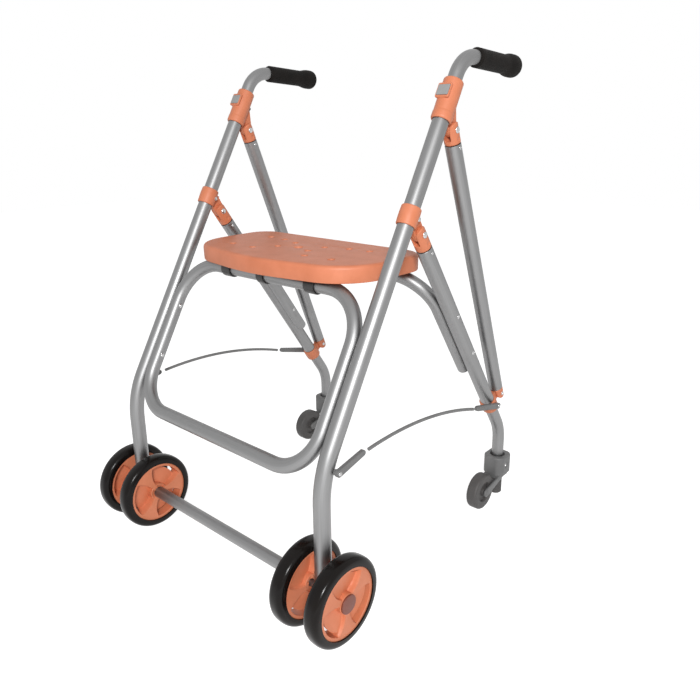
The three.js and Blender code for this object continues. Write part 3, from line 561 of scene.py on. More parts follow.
# %% Materials
def new_material(name, roughness, metallic=0.0):
    """A material with a Principled shader; returns the material, its tree and its shader."""
    material = bpy.data.materials.new(name)
    material.use_nodes = True
    shader = material.node_tree.nodes["Principled BSDF"]
    shader.inputs["Roughness"].default_value = roughness
    shader.inputs["Metallic"].default_value = metallic
    return material, material.node_tree, shader


def object_coordinates(tree):
    return tree.nodes.new("ShaderNodeTexCoord").outputs["Object"]


def use_group(tree, group, vector, **values):
    """Places a group with its own values, given by socket name with spaces as underscores."""
    node = tree.nodes.new("ShaderNodeGroup")
    node.node_tree = group
    tree.links.new(vector, node.inputs["Vector"])
    for label, value in values.items():
        node.inputs[label.replace("_", " ")].default_value = value
    return node


def add_bump(tree, shader, height, distance, strength=1.0):
    bump = tree.nodes.new("ShaderNodeBump")
    bump.inputs["Distance"].default_value = distance
    bump.inputs["Strength"].default_value = strength
    wire(tree, (height, bump.inputs["Height"]), (bump.outputs["Normal"], shader.inputs["Normal"]))


def plastic(name, dark, light, roughness, grain=1800.0, depth=0.03 * mm, rough_swing=0.08, specular=0.5):
    """Moulded plastic or rubber: two close tones that drift, freckling in the gloss, and a fine relief."""
    material, tree, shader = new_material(name, roughness)
    texture = use_group(tree, moulded_grain, object_coordinates(tree), Grain_Scale=grain)
    tone = blend_colours(tree, texture.outputs["Mottle"], dark, light)
    gloss = remap(tree, texture.outputs["Speck"], roughness - rough_swing, roughness + rough_swing)
    wire(tree, (tone, shader.inputs["Base Color"]), (gloss, shader.inputs["Roughness"]))
    add_bump(tree, shader, texture.outputs["Height"], depth)
    shader.inputs["Specular IOR Level"].default_value = specular
    return material


def metal(name, dark, light, roughness, streak=900.0, depth=0.012 * mm, coordinate="straight"):
    """Drawn metal: streaks along the tube in tone, gloss and relief, with broad smudges in the gloss."""
    material, tree, shader = new_material(name, roughness, metallic=1.0)
    if coordinate == "straight":
        attribute = tree.nodes.new("ShaderNodeAttribute")
        attribute.attribute_name = "straight"
        vector = attribute.outputs["Vector"]
    else:
        vector = object_coordinates(tree)
    texture = use_group(tree, drawn_streaks, vector, Streak_Scale=streak)
    tone = blend_colours(tree, remap(tree, texture.outputs["Streak"], 0.0, 1.0, 0.3, 0.7), dark, light)
    gloss = remap(tree, texture.outputs["Smudge"], roughness - 0.05, roughness + 0.05)
    wire(tree, (tone, shader.inputs["Base Color"]), (gloss, shader.inputs["Roughness"]))
    add_bump(tree, shader, texture.outputs["Streak"], depth)
    return material


aluminium = metal("satin_aluminium", (0.24, 0.24, 0.24), (0.28, 0.28, 0.283), 0.46, depth=0.004 * mm)
bright_steel = metal("bright_steel", (0.42, 0.42, 0.42), (0.6, 0.6, 0.6), 0.22, coordinate="object")
orange = plastic("orange_moulding", (0.60, 0.185, 0.085), (0.68, 0.225, 0.115), 0.5, depth=0.05 * mm)
cap_brown = plastic("dark_cap", (0.15, 0.035, 0.02), (0.19, 0.05, 0.03), 0.45)
tyre_black = plastic("glossy_tyre", (0.004, 0.003, 0.003), (0.008, 0.006, 0.005), 0.2, grain=500.0,
                     depth=0.02 * mm,
                     rough_swing=0.05, specular=0.15)
grey_plastic = plastic("grey_moulding", (0.13, 0.13, 0.13), (0.175, 0.175, 0.175), 0.5)
grey_rubber = plastic("grey_rubber", (0.06, 0.057, 0.056), (0.085, 0.08, 0.078), 0.6, grain=1200.0)
stay_grey = plastic("stay_coating", (0.15, 0.15, 0.15), (0.2, 0.2, 0.2), 0.45)
button_grey = plastic("button_grey", (0.28, 0.28, 0.275), (0.33, 0.33, 0.325), 0.35)
black_plastic = plastic("black_moulding", (0.012, 0.011, 0.011), (0.022, 0.02, 0.02), 0.4)

# %% Foam
def foam(name):
    """Closed-cell foam: nearly black, with small open pores in the skin and a little sheen at grazing
    angles."""
    material, tree, shader = new_material(name, 0.75)
    vector = object_coordinates(tree)
    pores = tree.nodes.new("ShaderNodeTexVoronoi")
    pores.inputs["Scale"].default_value = 900.0
    tree.links.new(vector, pores.inputs["Vector"])
    texture = use_group(tree, moulded_grain, vector, Grain_Scale=2600.0, Drift_Scale=45.0)
    tone = blend_colours(tree, texture.outputs["Mottle"], (0.004, 0.0035, 0.003), (0.010, 0.008, 0.007))
    wire(tree, (tone, shader.inputs["Base Color"]),
         (remap(tree, texture.outputs["Speck"], 0.62, 0.85), shader.inputs["Roughness"]))
    add_bump(tree, shader, pores.outputs["Distance"], 0.25 * mm, 0.8)
    shader.inputs["Specular IOR Level"].default_value = 0.15
    return material


grip_foam = foam("grip_foam")
print("finishes:", [material.name for material in bpy.data.materials])

# %% [markdown]
# ## The floor
# A pale floor keeps the object's soft shadow. Its own colour is nearly white, and a little light that only
# the camera sees lifts it to the white of the background, without lighting the frame any more.

# %% Floor
floor_half = 6.0
floor_mesh = bpy.data.meshes.new("floor")
floor_mesh.from_pydata([(-floor_half, -floor_half, 0), (floor_half, -floor_half, 0),
                        (floor_half, floor_half, 0), (-floor_half, floor_half, 0)], [], [(0, 1, 2, 3)])
floor_material, floor_tree, floor_shader = new_material("pale_floor", 0.9)
floor_shader.inputs["Base Color"].default_value = (0.8, 0.8, 0.8, 1)
floor_shader.inputs["Specular IOR Level"].default_value = 0.1
floor_glow = floor_tree.nodes.new("ShaderNodeEmission")
floor_glow.inputs["Color"].default_value = (1, 1, 1, 1)
glow_strength = remap(floor_tree, seen_directly(floor_tree), 0.0, 0.8)
floor_sum = floor_tree.nodes.new("ShaderNodeAddShader")
wire(floor_tree, (glow_strength, floor_glow.inputs["Strength"]),
     (floor_shader.outputs[0], floor_sum.inputs[0]), (floor_glow.outputs[0], floor_sum.inputs[1]),
     (floor_sum.outputs[0], floor_tree.nodes["Material Output"].inputs["Surface"]))
floor = bpy.data.objects.new("floor", floor_mesh)
floor_mesh.materials.append(floor_material)
bpy.context.scene.collection.objects.link(floor)
print("the floor reaches", floor_half, "m each way")

# %% [markdown]
# ## Bent tubes
# The legs, the handles, the loop under the seat and the hoop behind it are one kind of tube, bent on a
# former. Each is a circle carried along straight runs and arcs. A curve with a bevel depth would give the
# same outside, but a grid can also turn over the lip of an open end. A coordinate that unrolls the tube is
# stored with the mesh, so the drawn streaks follow every bend.

# %% Legs, handles, struts and stems
leg_length, leg_foot_height, leg_bend_radius = 650, 0.057, 180 * mm
handle_start, handle_corner_along, handle_bend_radius = 470, 715, 60 * mm
rear_tube_run, stem_start, stem_foot_height, stem_bend_radius = (30.3, 449), 339, 46 * mm, 90 * mm
leg_corners = [(front_axle[0], leg_foot_height), leg_bend, on_leg(leg_length)]
droop = heading(3)
handle_corner = on_leg(handle_corner_along)
handle_turn = np.arccos(leg_up @ droop)
grip_start = handle_bend_radius * np.tan(handle_turn / 2)
grip_length = 136 * mm


def on_handle(along):
    return handle_corner + along * droop


def spots_at(x, spots):
    return [at(x, spot) for spot in spots]


for side, sign in sides.items():
    x = sign * side_x
    settle(piece(f"{side}_front_leg", tube_mesh(spots_at(x, leg_corners), [leg_bend_radius], leg_radius),
                 aluminium),
           "front_frame", "tube", f"{side}_leg_tube")
    handle_run = [on_leg(handle_start), handle_corner, on_handle(grip_start + grip_length - 6 * mm)]
    settle(piece(f"{side}_handle", tube_mesh(spots_at(x, handle_run), [handle_bend_radius], bent_radius),
                 aluminium),
           f"{side}_handle", "tube", f"{side}_handle_tube")
    strut_run = [strut_pivot + 24.3 * mm * strut_down, strut_foot - 13.3 * mm * strut_down]
    settle(piece(f"{side}_strut_bar", tube_mesh(spots_at(x, strut_run), [], leg_radius), aluminium),
           f"{side}_strut", "tube", f"{side}_strut_tube")
    rear_run = [on_rear(along) for along in rear_tube_run]
    settle(piece(f"{side}_rear_leg", tube_mesh(spots_at(x, rear_run), [], leg_radius), aluminium),
           "rear_frame", "tube", f"{side}_rear_leg_tube")
    stem_run = [on_rear(stem_start), stem_bend, np.array([stem_bend[0], stem_foot_height])]
    settle(piece(f"{side}_stem", tube_mesh(spots_at(x, stem_run), [stem_bend_radius], bent_radius),
                 aluminium),
           "rear_frame", "tube", f"{side}_rear_stem")

print("each handle turns by", round(float(np.degrees(handle_turn)), 1), "degrees from the leg")

# %% Loop, hoop and crossbar
bar_x = side_x - leg_radius - bent_radius - 0.3 * mm


def mirrored_run(points):
    """A run of (x, spot) from the left to the middle, repeated in reverse on the right."""
    return [at(x, spot) for x, spot in points] + [at(-x, spot) for x, spot in points[::-1]]


def closed_tube_mesh(corners, radii, radius, sides_round=40):
    """A tube along a loop that ends where it starts, in the middle of a straight run."""
    points, tangents = bent_path(corners, radii)
    points, tangents = points[:-1], tangents[:-1]
    plane = unit(np.cross(corners[1] - corners[0], corners[2] - corners[1]))
    length = np.concatenate([[0], np.cumsum(np.linalg.norm(np.diff(points, axis=0), axis=1))])
    turns = np.linspace(0, 2 * np.pi, sides_round, endpoint=False)
    grid = carried(points, tangents, np.repeat(plane[None], len(points), 0), np.full(len(points), radius),
                   turns)
    straight = np.stack(np.broadcast_arrays(radius * np.cos(turns), radius * np.sin(turns), length[:, None]),
                        axis=-1)
    return grid_mesh(grid, wrap_rows=True, straight=straight.reshape(-1, 3))


loop_low, loop_high = on_leg(-8), on_leg(292)
loop_corners = [at(0, loop_low), at(bar_x, loop_low), at(bar_x, loop_high), at(-bar_x, loop_high),
                at(-bar_x, loop_low), at(0, loop_low)]
loop = piece("seat_loop", closed_tube_mesh(loop_corners, [75 * mm, 85 * mm, 85 * mm, 75 * mm], bent_radius),
             aluminium)
settle(loop, "front_frame", "tube", "front_loop")
hoop_run = mirrored_run([(-bar_x, on_rear(359)), (-bar_x, on_rear(108.2))])
hoop = piece("back_hoop", tube_mesh(hoop_run, [75 * mm, 75 * mm], bent_radius, plugged=5 * mm), aluminium)
settle(hoop, "rear_frame", "tube", "rear_hoop")

axle_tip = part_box("axle")[1].x
bar_half = side_x - 51.6 * mm
axle_profile = [(-axle_tip, 0), (-axle_tip, 5 * mm), (-axle_tip + 1 * mm, 6 * mm), (-bar_half, 6 * mm),
                (-bar_half, 10.4 * mm),
                (-bar_half + 0.6 * mm, 11 * mm)]
axle_profile += [(-a, r) for a, r in axle_profile[::-1]]
crossbar = piece("crossbar", turned_mesh(at(0, front_axle), (1, 0, 0), axle_profile, 40), aluminium)
settle(crossbar, "front_frame", "steel", "axle")
print("the loop and the hoop are", round(2 * bar_x, 3), "m wide between tube axes")

# %% [markdown]
# ## Foam grips
# A grip is a thick foam sleeve that widens into a rounded knob at its end, so that a hand can't slip off. The
# foam is stiff, so it needs no cloth: it is one turned profile, which is a straight run, a smooth step up,
# and an arc over the end.

# %% Grips
grip_radius = 16.5 * mm
knob_radius = 20 * mm


def grip_profile():
    """Radius against length: grip radius, plus a smooth step up to the knob, under a rounded end."""
    along = np.linspace(0, 1, 60) ** 0.9 * grip_length
    step = np.clip((along - 92 * mm) / (24 * mm), 0, 1)
    radius = grip_radius + (knob_radius - grip_radius) * step * step * (3 - 2 * step)
    near = np.clip(along / (3 * mm), 0, 1)
    radius *= 1 - 0.12 * (1 - near) ** 2
    far = np.clip((grip_length - along) / (13 * mm), 0, 1)
    radius *= np.sqrt(1 - (1 - far) ** 2.6) * 0.45 + 0.55 * np.clip(far * 8, 0, 1) ** 0.5
    return [(0, bent_radius + 0.3 * mm), *zip(along, radius), (grip_length, 0), (grip_length - 4 * mm, 0),
            (grip_length - 4 * mm, bent_radius + 0.3 * mm)]


for side, sign in sides.items():
    start = at(sign * side_x, on_handle(grip_start))
    grip_mesh = turned_mesh(start, at(0, droop), grip_profile(), 56, closed=True)
    grip = settle(piece(f"{side}_foam_grip", grip_mesh, grip_foam, 50), f"{side}_handle", "grip_foam",
                  f"{side}_grip")
print("each grip is", round(grip_length, 3), "m long")

# %% [markdown]
# ## Moulded joints of the side frames
# Orange mouldings join the tubes. A sleeve grips a tube, and a flat ear on it carries the pivot of a forked
# tube end. The ears are plates bounded by a belt; sleeves are turned; the fork's slot is carved out of a
# rounded body.

# %% Sleeves with ears
ear_half = 5 * mm
slot_half = 5.4 * mm
sleeve_bore = leg_radius + 0.3 * mm
collar_low, collar_high = 595, 667
button_along = 640
clamp_low, clamp_high = 413.1, 446.1
foot_clamp_low, foot_clamp_high = 449.3, 476.3


def leg_plate(x, along_middle, half_length, half_width, corner, low, high, edge):
    """A rounded plate that faces forward on the leg: low and high are counted ahead of the leg's axis."""
    discs = [(a, b, corner) for a in (corner - half_width, half_width - corner)
             for b in (corner - half_length, half_length - corner)]
    origin = at(x, on_leg(along_middle))
    return plate_mesh(discs, origin, (1, 0, 0), at(0, leg_up), low, high, edge)


def ear(x, pivot, radius, roots):
    """A flat ear from a sleeve's wall out to a pivot."""
    return side_plate(x, [(pivot, radius), *[(spot, 0.8 * mm) for spot in roots]], -ear_half, ear_half)


def ear_ribs(x, start, stop, count, half_width):
    """Thin ribs across an ear's edge, on a straight line from start to stop."""
    line = np.linspace(0, 1, count)[:, None]
    return [rounded_rod(at(x - half_width, spot), at(x + half_width, spot), 1.1 * mm, 0.5 * mm, 12)
            for spot in start + line * (stop - start)]


def pivot_hole(x, spot, radius=3.3 * mm, half=20 * mm):
    return turned_mesh(at(x - half, spot), (1, 0, 0),
                       [(0, 0), (0, radius), (2 * half, radius), (2 * half, 0)], 24)

# %% The height collar
def upper_collar(side, x):
    """Sleeve, button boss and strut ear, with the button's recess carved into the boss."""
    body = sleeve_mesh(at(x, on_leg(collar_low)), at(x, on_leg(collar_high)), clamp_radius, sleeve_bore,
                       2 * mm, 0.3 * mm)
    lower_band = sleeve_mesh(at(x, on_leg(597)), at(x, on_leg(609)), clamp_radius + 0.7 * mm,
                             sleeve_bore + 1 * mm, 1 * mm)
    boss = leg_plate(x, button_along, 13 * mm, 13 * mm, 3 * mm, 15.2 * mm, 20 * mm, 1.2 * mm)
    strap = ear(x, strut_pivot, 11.5 * mm, [on_leg(608, 15.7), on_leg(641, 15.7)])
    recess = leg_plate(x, button_along, 9.3 * mm, 11.3 * mm, 1.5 * mm, 16.2 * mm, 22 * mm, 0.1 * mm)
    ribs = ear_ribs(x, on_leg(612, 30), on_leg(632, 21), 5, ear_half)
    return fuse(f"{side}_collar", orange, [body, lower_band, boss, strap, *ribs],
                [recess, pivot_hole(x, strut_pivot)])

# %% The middle clamp
def mid_clamp(side, x):
    """Sleeve and ear of the clamp that carries the rear leg, with a thin split and the pivot's hole carved
    out.
    """
    body = sleeve_mesh(at(x, on_leg(clamp_low)), at(x, on_leg(clamp_high)), clamp_radius, sleeve_bore, 2 * mm,
                       0.4 * mm)
    strap = ear(x, fold_pivot, 12 * mm, [on_leg(415.1, 15.7), on_leg(441.1, 15.7)])
    split = side_plate(x, [(on_leg(435, 14), 0.5 * mm), (on_leg(452, 14), 0.5 * mm),
                           (on_leg(452, 24), 0.5 * mm),
                           (on_leg(435, 24), 0.5 * mm)], -0.8 * mm, 0.8 * mm, 0.2 * mm)
    ribs = ear_ribs(x, on_leg(428, 34), on_leg(440, 22), 4, ear_half)
    return fuse(f"{side}_mid_sleeve", orange, [body, strap, *ribs], [split, pivot_hole(x, fold_pivot)])

# %% Screws
def screw_head(x_from, spot, out, radius=4.2 * mm, height=2.2 * mm):
    """A domed head with a cross recess, standing out from x_from."""
    quarter = np.linspace(0, np.pi / 2, 7)
    dome = [(0.0, 0.0), (0.0, radius)] + [(height * np.sin(q), radius * np.cos(q)) for q in quarter]
    head = turned_mesh(at(x_from, spot), (out, 0, 0), dome, 24)
    arm = 0.55 * radius
    slots = []
    for direction in (leg_up, leg_back):
        ends = [(spot + direction * arm, 0.5 * mm), (spot - direction * arm, 0.5 * mm)]
        slots.append(side_plate(x_from + out * (height + 0.2 * mm), ends, -1.0 * mm, 1.0 * mm, 0.1 * mm, 24))
    return head, slots


def screw(name, x_from, spot, out, body, radius=4.2 * mm, height=2.2 * mm, material=None):
    """A screw or rivet that only the eye needs, seated on a face."""
    head, slots = screw_head(x_from, spot, out, radius, height)
    made = piece(name, head, material or bright_steel, 40)
    carve(made, "DIFFERENCE", *slots)
    made.data.shade_smooth()
    made.data.set_sharp_from_angle(angle=np.radians(40))
    return settle(made, body, "steel")

# %% Fit the collars, clamps and buttons
for side, sign in sides.items():
    x = sign * side_x
    settle(upper_collar(side, x), f"{side}_collar", "orange_plastic", f"{side}_upper_collar")
    settle(mid_clamp(side, x), "front_frame", "orange_plastic", f"{side}_mid_clamp")
    button = piece(f"{side}_button", leg_plate(x, button_along, 9 * mm, 11 * mm, 1.5 * mm, 17.6 * mm,
                                               20.8 * mm, 0.7 * mm), button_grey)
    settle(button, f"{side}_latch", "button", f"{side}_latch_button")
    knob_at = on_leg(button_along, 17)
    knob = rounded_rod(at(x, knob_at), at(x, knob_at + 5 * mm * leg_back), 4 * mm, 1.2 * mm, 24)
    settle(piece(f"{side}_collar_knob", knob, black_plastic), f"{side}_collar", "black_plastic")
print("each collar is", collar_high - collar_low, "mm long")

# %% [markdown]
# ## Forked tube ends
# The end of a strut or a rear leg is a plug with two cheeks. Its body is the tube's own cylinder, cut to a
# rounded outline that shrinks to the pivot's radius, then slotted for the ear it holds. Cutting one body, as
# the mould does, keeps both cheeks in line with the tube, which two separate cheeks would not.

# %% Forks
def fork_end(name, x, pivot, tube_end, radius, slot_past):
    """Cylinder cut to a belt round the pivot and the tube, minus the slot and a small dished recess on each
    side."""
    down = unit(tube_end - pivot)
    across = np.array([-down[1], down[0]])
    body_end = tube_end - 0.3 * mm * down
    rod = rounded_rod(at(x, pivot - (radius + 0.5 * mm) * down), at(x, body_end), leg_radius, 2.5 * mm)
    outline = side_plate(x, [(pivot, radius), (body_end + leg_radius * down, leg_radius)], -leg_radius,
                         leg_radius, 2 * mm)
    made = piece(name, rod, orange)
    carve(made, "INTERSECT", outline)
    gap = [(pivot - 3 * radius * down, slot_half), (pivot + (slot_past - slot_half) * down, slot_half)]
    gap = [(spot + side * 2 * leg_radius * across, size) for spot, size in gap for side in (-1, 1)]
    slot_tool = side_plate(x, gap, -slot_half, slot_half, 0.2 * mm)
    recess_spot = pivot + 0.62 * (body_end - pivot)
    tools = [slot_tool]
    for out in (-1, 1):
        tools.append(turned_mesh(at(x + out * (leg_radius - 1.2 * mm), recess_spot), (out, 0, 0),
                                 [(0, 0), (0, 3.2 * mm), (4 * mm, 4.2 * mm), (4 * mm, 0)], 24))
    carve(made, "DIFFERENCE", *tools)
    return melt(made, orange, relax=4)

# %% Pins, and where the forks go
def pivot_pin(name, x, spot, half, radius=3 * mm, head=5.5 * mm):
    """A pin with a domed head at each end."""
    quarter = np.linspace(0, np.pi / 2, 6)
    end = [(0.0, radius), (0.0, head)] + [(2 * mm * np.sin(q), head * np.cos(q)) for q in quarter]
    profile = [(-half - a, r) for a, r in end[::-1]] + [(half + a, r) for a, r in end]
    return piece(name, turned_mesh(at(x, spot), (1, 0, 0), profile, 28), bright_steel, 40)


for side, sign in sides.items():
    x = sign * side_x
    pin_half = leg_radius + 0.3 * mm
    settle(fork_end(f"{side}_strut_fork", x, strut_pivot, strut_pivot + 24 * mm * strut_down, 13 * mm,
                    16 * mm),
           f"{side}_strut", "orange_plastic", f"{side}_strut_top_fork")
    settle(fork_end(f"{side}_strut_shoe", x, strut_foot, strut_foot - 13 * mm * strut_down, 11 * mm,
                    12.5 * mm),
           f"{side}_strut", "orange_plastic", f"{side}_strut_lower_end")
    settle(fork_end(f"{side}_leg_fork", x, fold_pivot, on_rear(30), 14 * mm, 16 * mm),
           "rear_frame", "orange_plastic", f"{side}_rear_leg_fork")
    settle(pivot_pin(f"{side}_strut_pin", x, strut_pivot, pin_half), f"{side}_collar", "steel",
           f"{side}_strut_top_pin")
    settle(pivot_pin(f"{side}_fold_pin", x, fold_pivot, pin_half), "front_frame", "steel",
           f"{side}_leg_pivot_pin")
    for out, edge in ((-1, "inner"), (1, "outer")):
        face = x + sign * out * (leg_radius - 0.1 * mm)
        screw(f"{side}_strut_rivet_{edge}", face, strut_pivot + 31 * mm * strut_down, sign * out,
              f"{side}_strut", 2.6 * mm, 1.2 * mm)
        screw(f"{side}_leg_rivet_{edge}", face, on_rear(40), sign * out, "rear_frame", 2.6 * mm, 1.2 * mm)
        screw(f"{side}_shoe_rivet_{edge}", face, strut_foot, sign * out, f"{side}_strut", 4 * mm, 1.8 * mm)
        clamp_face = x + sign * out * (clamp_radius - 1.6 * mm)
        screw(f"{side}_clamp_screw_{edge}", clamp_face, on_leg(430, 8), sign * out, "front_frame", 4 * mm,
              2 * mm)

print("forks slot over ears", round(2000 * ear_half, 1), "mm thick")

# %% Lower clamps
for side, sign in sides.items():
    x = sign * side_x
    ring = sleeve_mesh(at(x, on_rear(foot_clamp_low)), at(x, on_rear(foot_clamp_high)), clamp_radius,
                       bent_radius + 0.3 * mm, 2 * mm, 0.3 * mm)
    arm = side_plate(x, [(strut_foot, 8.5 * mm), (on_rear(453.8, 15), 1.2 * mm),
                         (on_rear(471.8, 15), 1.2 * mm)],
                     -ear_half, ear_half)
    ribs = ear_ribs(x, on_rear(470, 28), on_rear(474, 17), 3, ear_half)
    clamp = fuse(f"{side}_foot_clamp", orange, [ring, arm, *ribs])
    settle(clamp, "rear_frame", "orange_plastic", f"{side}_lower_clamp")
print("each lower clamp is", round(foot_clamp_high - foot_clamp_low, 1), "mm long")

# %% [markdown]
# ## Twin front wheels
# A wheel is a glossy black tyre on an orange moulding. Three spokes flare from the boss to the rim and stand
# flush with both faces. Between them a thin dished panel lies near the outer face and stops short of the rim,
# which leaves crescent windows. Spokes and panels could be cut out of a disc, but their faces melt into each
# other, so they are one height field over the wheel's polar grid.

# %% The web of spokes and panels
tyre_radius = 75 * mm
tyre_half = 15 * mm
rim_radius = 59.6 * mm
rim_inner = 54.6 * mm
face = 13 * mm
panel_edge = 47.5 * mm


def smooth_step(value):
    value = np.clip(value, 0, 1)
    return value * value * (3 - 2 * value)


def hub_web(centre, outward, phase):
    """Height field over radius and angle. Spoke half width = 6 mm + 17 mm * share^2 of the way to the rim.
    Faces: at the hub's face on a spoke, and 3 mm apart near the outer face in a pocket, tilted across it."""
    angles = np.linspace(0, 2 * np.pi, 300, endpoint=False)
    offset = (angles - np.radians(phase) + np.pi / 3) % (2 * np.pi / 3) - np.pi / 3
    into_spoke = smooth_step((np.radians(25.5) - np.abs(offset)) / np.radians(3))
    reach = panel_edge + (56.5 * mm - panel_edge) * into_spoke
    share = np.linspace(0, 1, 34)[:, None]
    radius = 9 * mm + share * (reach - 9 * mm)
    half_width = 6 * mm + 17 * mm * np.clip((radius - 17 * mm) / (38 * mm), 0, 1) ** 2
    spoke = smooth_step((half_width - np.abs(offset) * radius) / (2.2 * mm) + 0.5)
    tilt = 2.5 * mm * np.sin(1.5 * (np.abs(offset) * np.sign(offset) - np.sign(offset) * np.pi / 3))
    bowl = 2.0 * mm * np.cos(np.pi * (radius - 17 * mm) / (62 * mm))
    outer_face = spoke * (face - 0.2 * mm) + (1 - spoke) * (6.2 * mm + tilt - bowl)
    inner_face = spoke * (0.2 * mm - face) + (1 - spoke) * (3.2 * mm + tilt - bowl)
    rows = np.concatenate([radius, radius[::-1]])
    lift = np.concatenate([outer_face, inner_face[::-1]])
    grid = np.stack([centre[0] + outward * lift, centre[1] + rows * np.cos(angles),
                     centre[2] + rows * np.sin(angles)], -1)
    return grid_mesh(grid, wrap_rows=True)

# %% Hub and tyre
def hub_mesh(centre, outward, phase):
    """Web, boss with a recess at each face, and the rim ring with a small lip over the tyre."""
    rim = [(-face, rim_inner), (-face, rim_radius - 1 * mm), (-face + 0.4 * mm, rim_radius - 0.2 * mm),
           (-face + 1 * mm, rim_radius)]
    rim += [(-a, r) for a, r in rim[::-1]]
    rim = rim + [(a * 0.94, rim_inner - 0.7 * mm) for a in (face, -face)]
    boss = [(-face, 15 * mm), (-face, 16.4 * mm), (-face + 0.6 * mm, 17 * mm)]
    boss += [(-a, r) for a, r in boss[::-1]]
    boss += [(9 * mm, 14.4 * mm), (9 * mm, 6.3 * mm), (-9 * mm, 6.3 * mm), (-9 * mm, 14.4 * mm)]
    return join_meshes(hub_web(centre, outward, phase), turned_mesh(centre, (1, 0, 0), rim, 128, closed=True),
                       turned_mesh(centre, (1, 0, 0), boss, 64, closed=True))


def tyre_profile():
    """Half a superellipse over a flat seat: half width * |cos t|^0.7 across and thickness * |sin t|^0.62
    out."""
    turn = np.linspace(0, np.pi, 30)
    across = -tyre_half * np.sign(np.cos(turn)) * np.abs(np.cos(turn)) ** 0.7
    out = 59.9 * mm + (tyre_radius - 59.9 * mm) * np.abs(np.sin(turn)) ** 0.62
    return [(-tyre_half * 0.9, 59.7 * mm), *zip(across, out), (tyre_half * 0.9, 59.7 * mm)]

# %% Fit the front wheels
wheel_phases = {("left", "outer"): 30, ("left", "inner"): 62, ("right", "outer"): 100, ("right", "inner"): 2}
for (side, pair), phase in wheel_phases.items():
    centre = np.array(joints[f"{side}_{pair}_wheel_spin"]["pos_m"], float)
    body = f"{side}_{pair}_front_wheel"
    hub = piece(f"{side}_{pair}_wheel_hub", hub_mesh(centre, sides[side], phase), orange, 40)
    settle(hub, body, "orange_plastic", f"{side}_{pair}_hub")
    tyre = piece(f"{side}_{pair}_wheel_tyre", turned_mesh(centre, (1, 0, 0), tyre_profile(), 128,
                                                          closed=True), tyre_black)
    settle(tyre, body, "tyre", f"{side}_{pair}_tyre")

for side, sign in sides.items():
    centre = np.array(joints[f"{side}_outer_wheel_spin"]["pos_m"], float)
    start = centre + (sign * 13.3 * mm, 0, 0)
    cap = rounded_rod(start, start + (sign * 3 * mm, 0, 0), 16 * mm, 0.9 * mm, 64)
    settle(piece(f"{side}_wheel_cap", cap, cap_brown), f"{side}_outer_front_wheel", "cap", f"{side}_hub_cap")
print(len(wheel_phases), "front wheels,", round(2000 * tyre_radius), "mm across")

# %% [markdown]
# ## Rear wheels and pressure brakes
# At the back, each stem slides in a grey housing that carries a small rubber wheel on two arms. Weight on the
# frame presses the stem's foot to the floor. The housing has a dark gap round the stem and a chamfered top.
# The moulded parts are fused from plates, as the fittings above are, and the wheel is one turned profile.

# %% Brake housing
stem_x_spot = stem_bend[0]
housing_low, housing_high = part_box("left_brake_housing")[0].z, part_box("left_brake_housing")[1].z
yoke_top = housing_low - 0.3 * mm


def housing(side, x):
    """A block with rounded corners and rims, a bore and mouth for the stem and a recess on each side for the
    brake's screw.
    """
    corners = [(-8 * mm, -9 * mm, 16 * mm), (8 * mm, -9 * mm, 16 * mm), (10 * mm, 11 * mm, 14 * mm),
               (-10 * mm, 11 * mm, 14 * mm)]
    origin = (x, stem_x_spot, 0)
    block = plate_mesh(corners, origin, (1, 0, 0), (0, 1, 0), housing_low, housing_high, 3.5 * mm)
    band = plate_mesh(corners, origin, (1, 0, 0), (0, 1, 0), housing_low + 1 * mm, housing_low + 9 * mm,
                      1 * mm)
    bore = turned_mesh((x, stem_x_spot, housing_low - 5 * mm), (0, 0, 1),
                       [(0, 0), (0, 12.8 * mm), (70 * mm, 12.8 * mm), (70 * mm, 0)], 48)
    mouth = turned_mesh((x, stem_x_spot, housing_high - 12 * mm), (0, 0, 1),
                        [(0, 0), (0, 15.5 * mm), (11 * mm, 15.5 * mm), (14 * mm, 17.5 * mm),
                         (14 * mm, 0)], 48)
    flute = [turned_mesh((x + out * 24.5 * mm, stem_x_spot - 2 * mm, housing_low + 22 * mm), (out, 0, 0),
                         [(-2.5 * mm, 0), (-2.5 * mm, 6 * mm), (3 * mm, 6.5 * mm),
                          (3 * mm, 0)], 32) for out in (-1, 1)]
    return fuse(f"{side}_brake_block", grey_plastic, [block, band], [bore, mouth, *flute], 0.9 * mm, 4)

